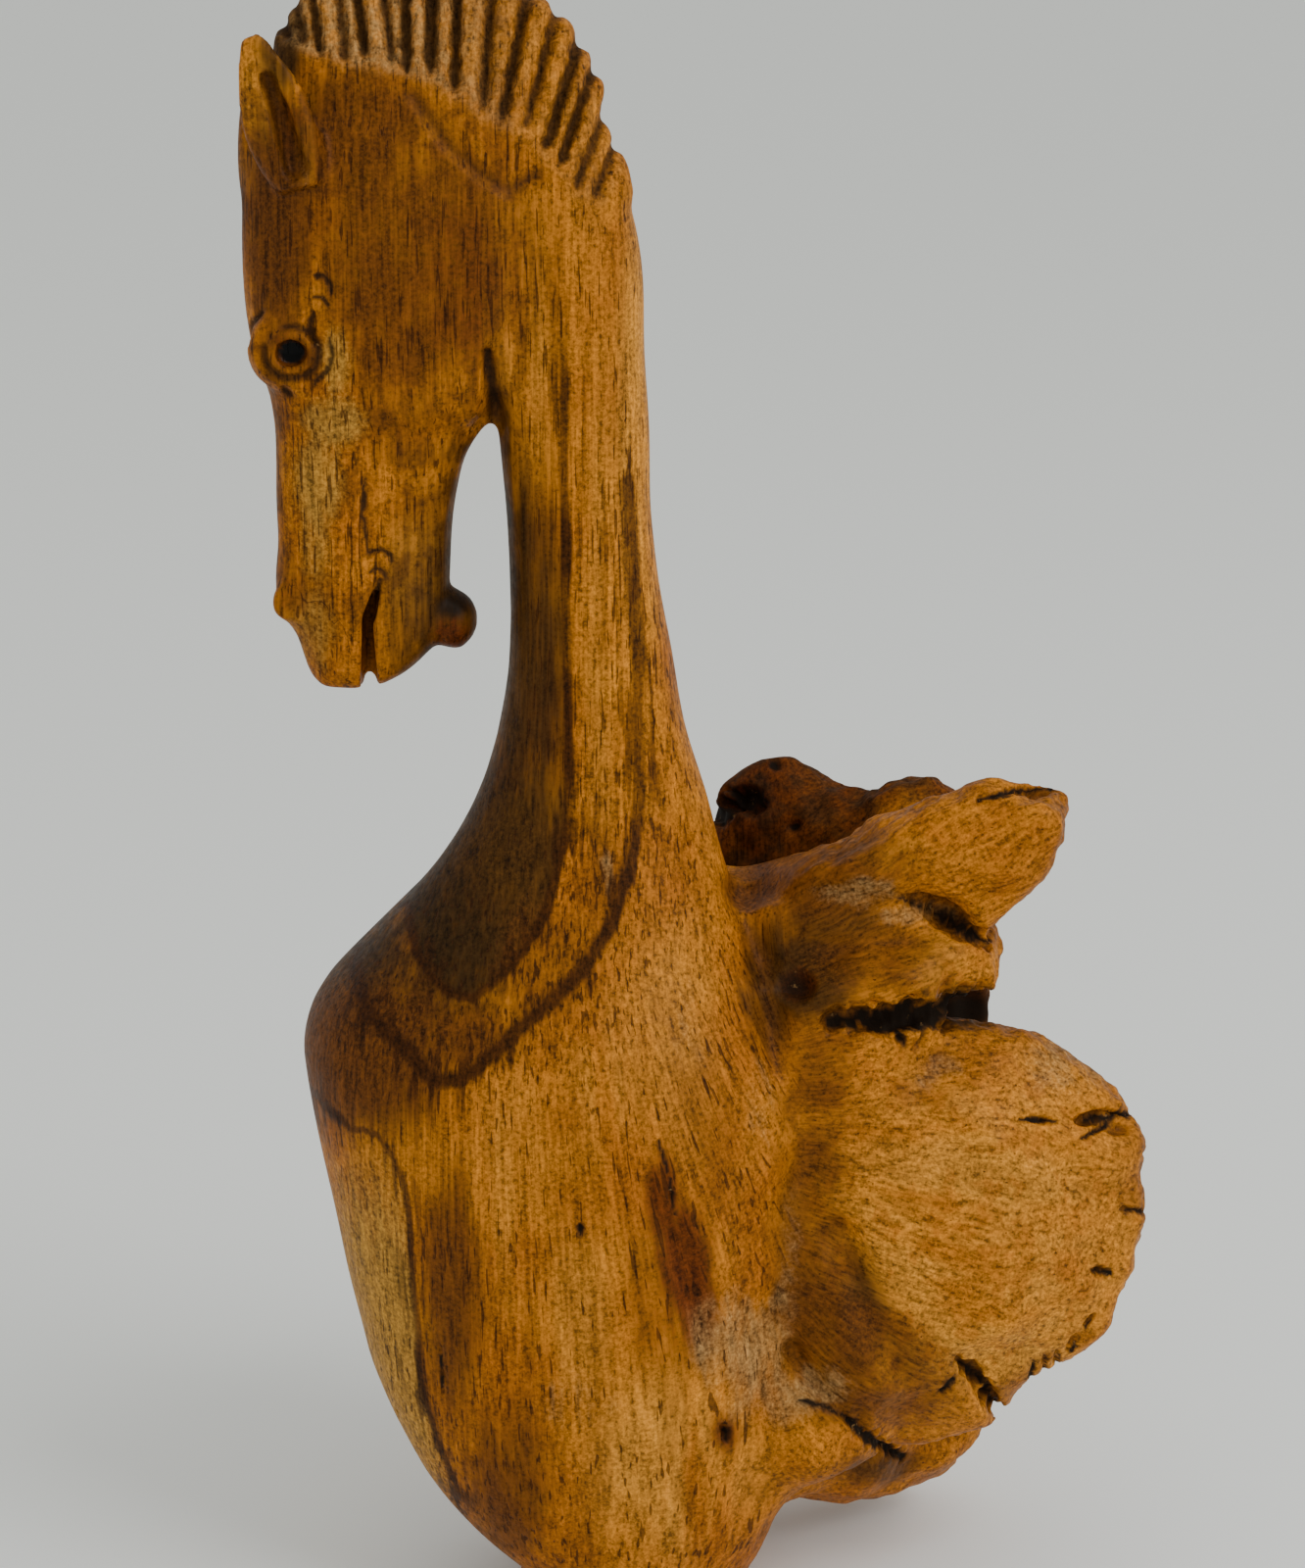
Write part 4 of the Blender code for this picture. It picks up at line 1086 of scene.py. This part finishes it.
class CARVED_HORSE_OT_stage(bpy.types.Operator):
    """Lay the floor and set the lights and the camera"""

    bl_idname = "carved_horse.stage"
    bl_label = "Stage"

    def execute(self, context):
        settings = context.scene.carved_horse_stage
        bpy.ops.object.select_all(action="DESELECT")
        bpy.ops.mesh.primitive_plane_add(size=FLOOR_SIZE, location=(0.0, 0.0, -0.0002))
        floor = context.active_object
        floor.name = "floor"
        bpy.ops.object.transform_apply(location=True, rotation=True, scale=True)
        floor.data.materials.append(plain("pale_floor", settings.floor, 0.9))
        self.add_light("key_light", *KEY_LIGHT, settings.key)
        self.add_light("fill_light", *FILL_LIGHT, settings.fill)
        world = bpy.data.worlds.new("studio")
        world.use_nodes = True
        background = world.node_tree.nodes["Background"]
        background.inputs["Color"].default_value = STUDIO_COLOUR
        background.inputs["Strength"].default_value = settings.ambient
        context.scene.world = world
        self.add_camera(context)
        return {"FINISHED"}

    def add_light(self, name, place_at, size, power):
        data = bpy.data.lights.new(name, "AREA")
        data.shape = "SQUARE"
        data.size = size
        data.energy = power
        light = bpy.data.objects.new(name, data)
        light.location = place_at
        aim = Vector(LIT_PLACE) - Vector(place_at)
        light.rotation_euler = aim.to_track_quat("-Z", "Y").to_euler()
        bpy.context.scene.collection.objects.link(light)

    def add_camera(self, context):
        target = Vector(AIM) * MM
        data = bpy.data.cameras.new("camera")
        data.lens = LENS
        data.sensor_width = PICTURE_WIDTH
        data.clip_end = 50.0
        camera = bpy.data.objects.new("camera", data)
        camera.location = target + Vector((0.0, -math.cos(LOOK_DOWN), math.sin(LOOK_DOWN))) * AWAY * MM
        camera.rotation_euler = (math.pi / 2.0 - LOOK_DOWN, 0.0, 0.0)
        context.scene.collection.objects.link(camera)
        context.scene.camera = camera


class CARVED_HORSE_PT_panel(bpy.types.Panel):
    """The pieces of the carved horse"""

    bl_idname = "CARVED_HORSE_PT_panel"
    bl_label = "Carved Horse"
    bl_space_type = "VIEW_3D"
    bl_region_type = "UI"
    bl_category = "Carved Horse"

    def draw(self, context):
        column = self.layout.column()
        for group, operator in (
                ("carved_horse_carving", None), ("carved_horse_wood", "carved_horse.figure"),
                ("carved_horse_stage", "carved_horse.stage")):
            settings = getattr(context.scene, group)
            for name in settings.bl_rna.properties.keys():
                if name not in ("name", "rna_type"):
                    column.prop(settings, name)
            if operator:
                column.operator(operator)


SETTINGS = {
    "carved_horse_carving": CarvedHorseCarving,
    "carved_horse_wood": CarvedHorseWood,
    "carved_horse_stage": CarvedHorseStage,
}
TOOLS = (CARVED_HORSE_OT_figure, CARVED_HORSE_OT_stage, CARVED_HORSE_PT_panel)


def register():
    for name, group in SETTINGS.items():
        bpy.utils.register_class(group)
        setattr(bpy.types.Scene, name, bpy.props.PointerProperty(type=group))
    for tool in TOOLS:
        bpy.utils.register_class(tool)


def unregister():
    for tool in reversed(TOOLS):
        bpy.utils.unregister_class(tool)
    for name, group in reversed(SETTINGS.items()):
        delattr(bpy.types.Scene, name)
        bpy.utils.unregister_class(group)


def main():
    register()
    bpy.ops.carved_horse.figure()
    bpy.ops.carved_horse.stage()


if __name__ == "__main__":
    main()
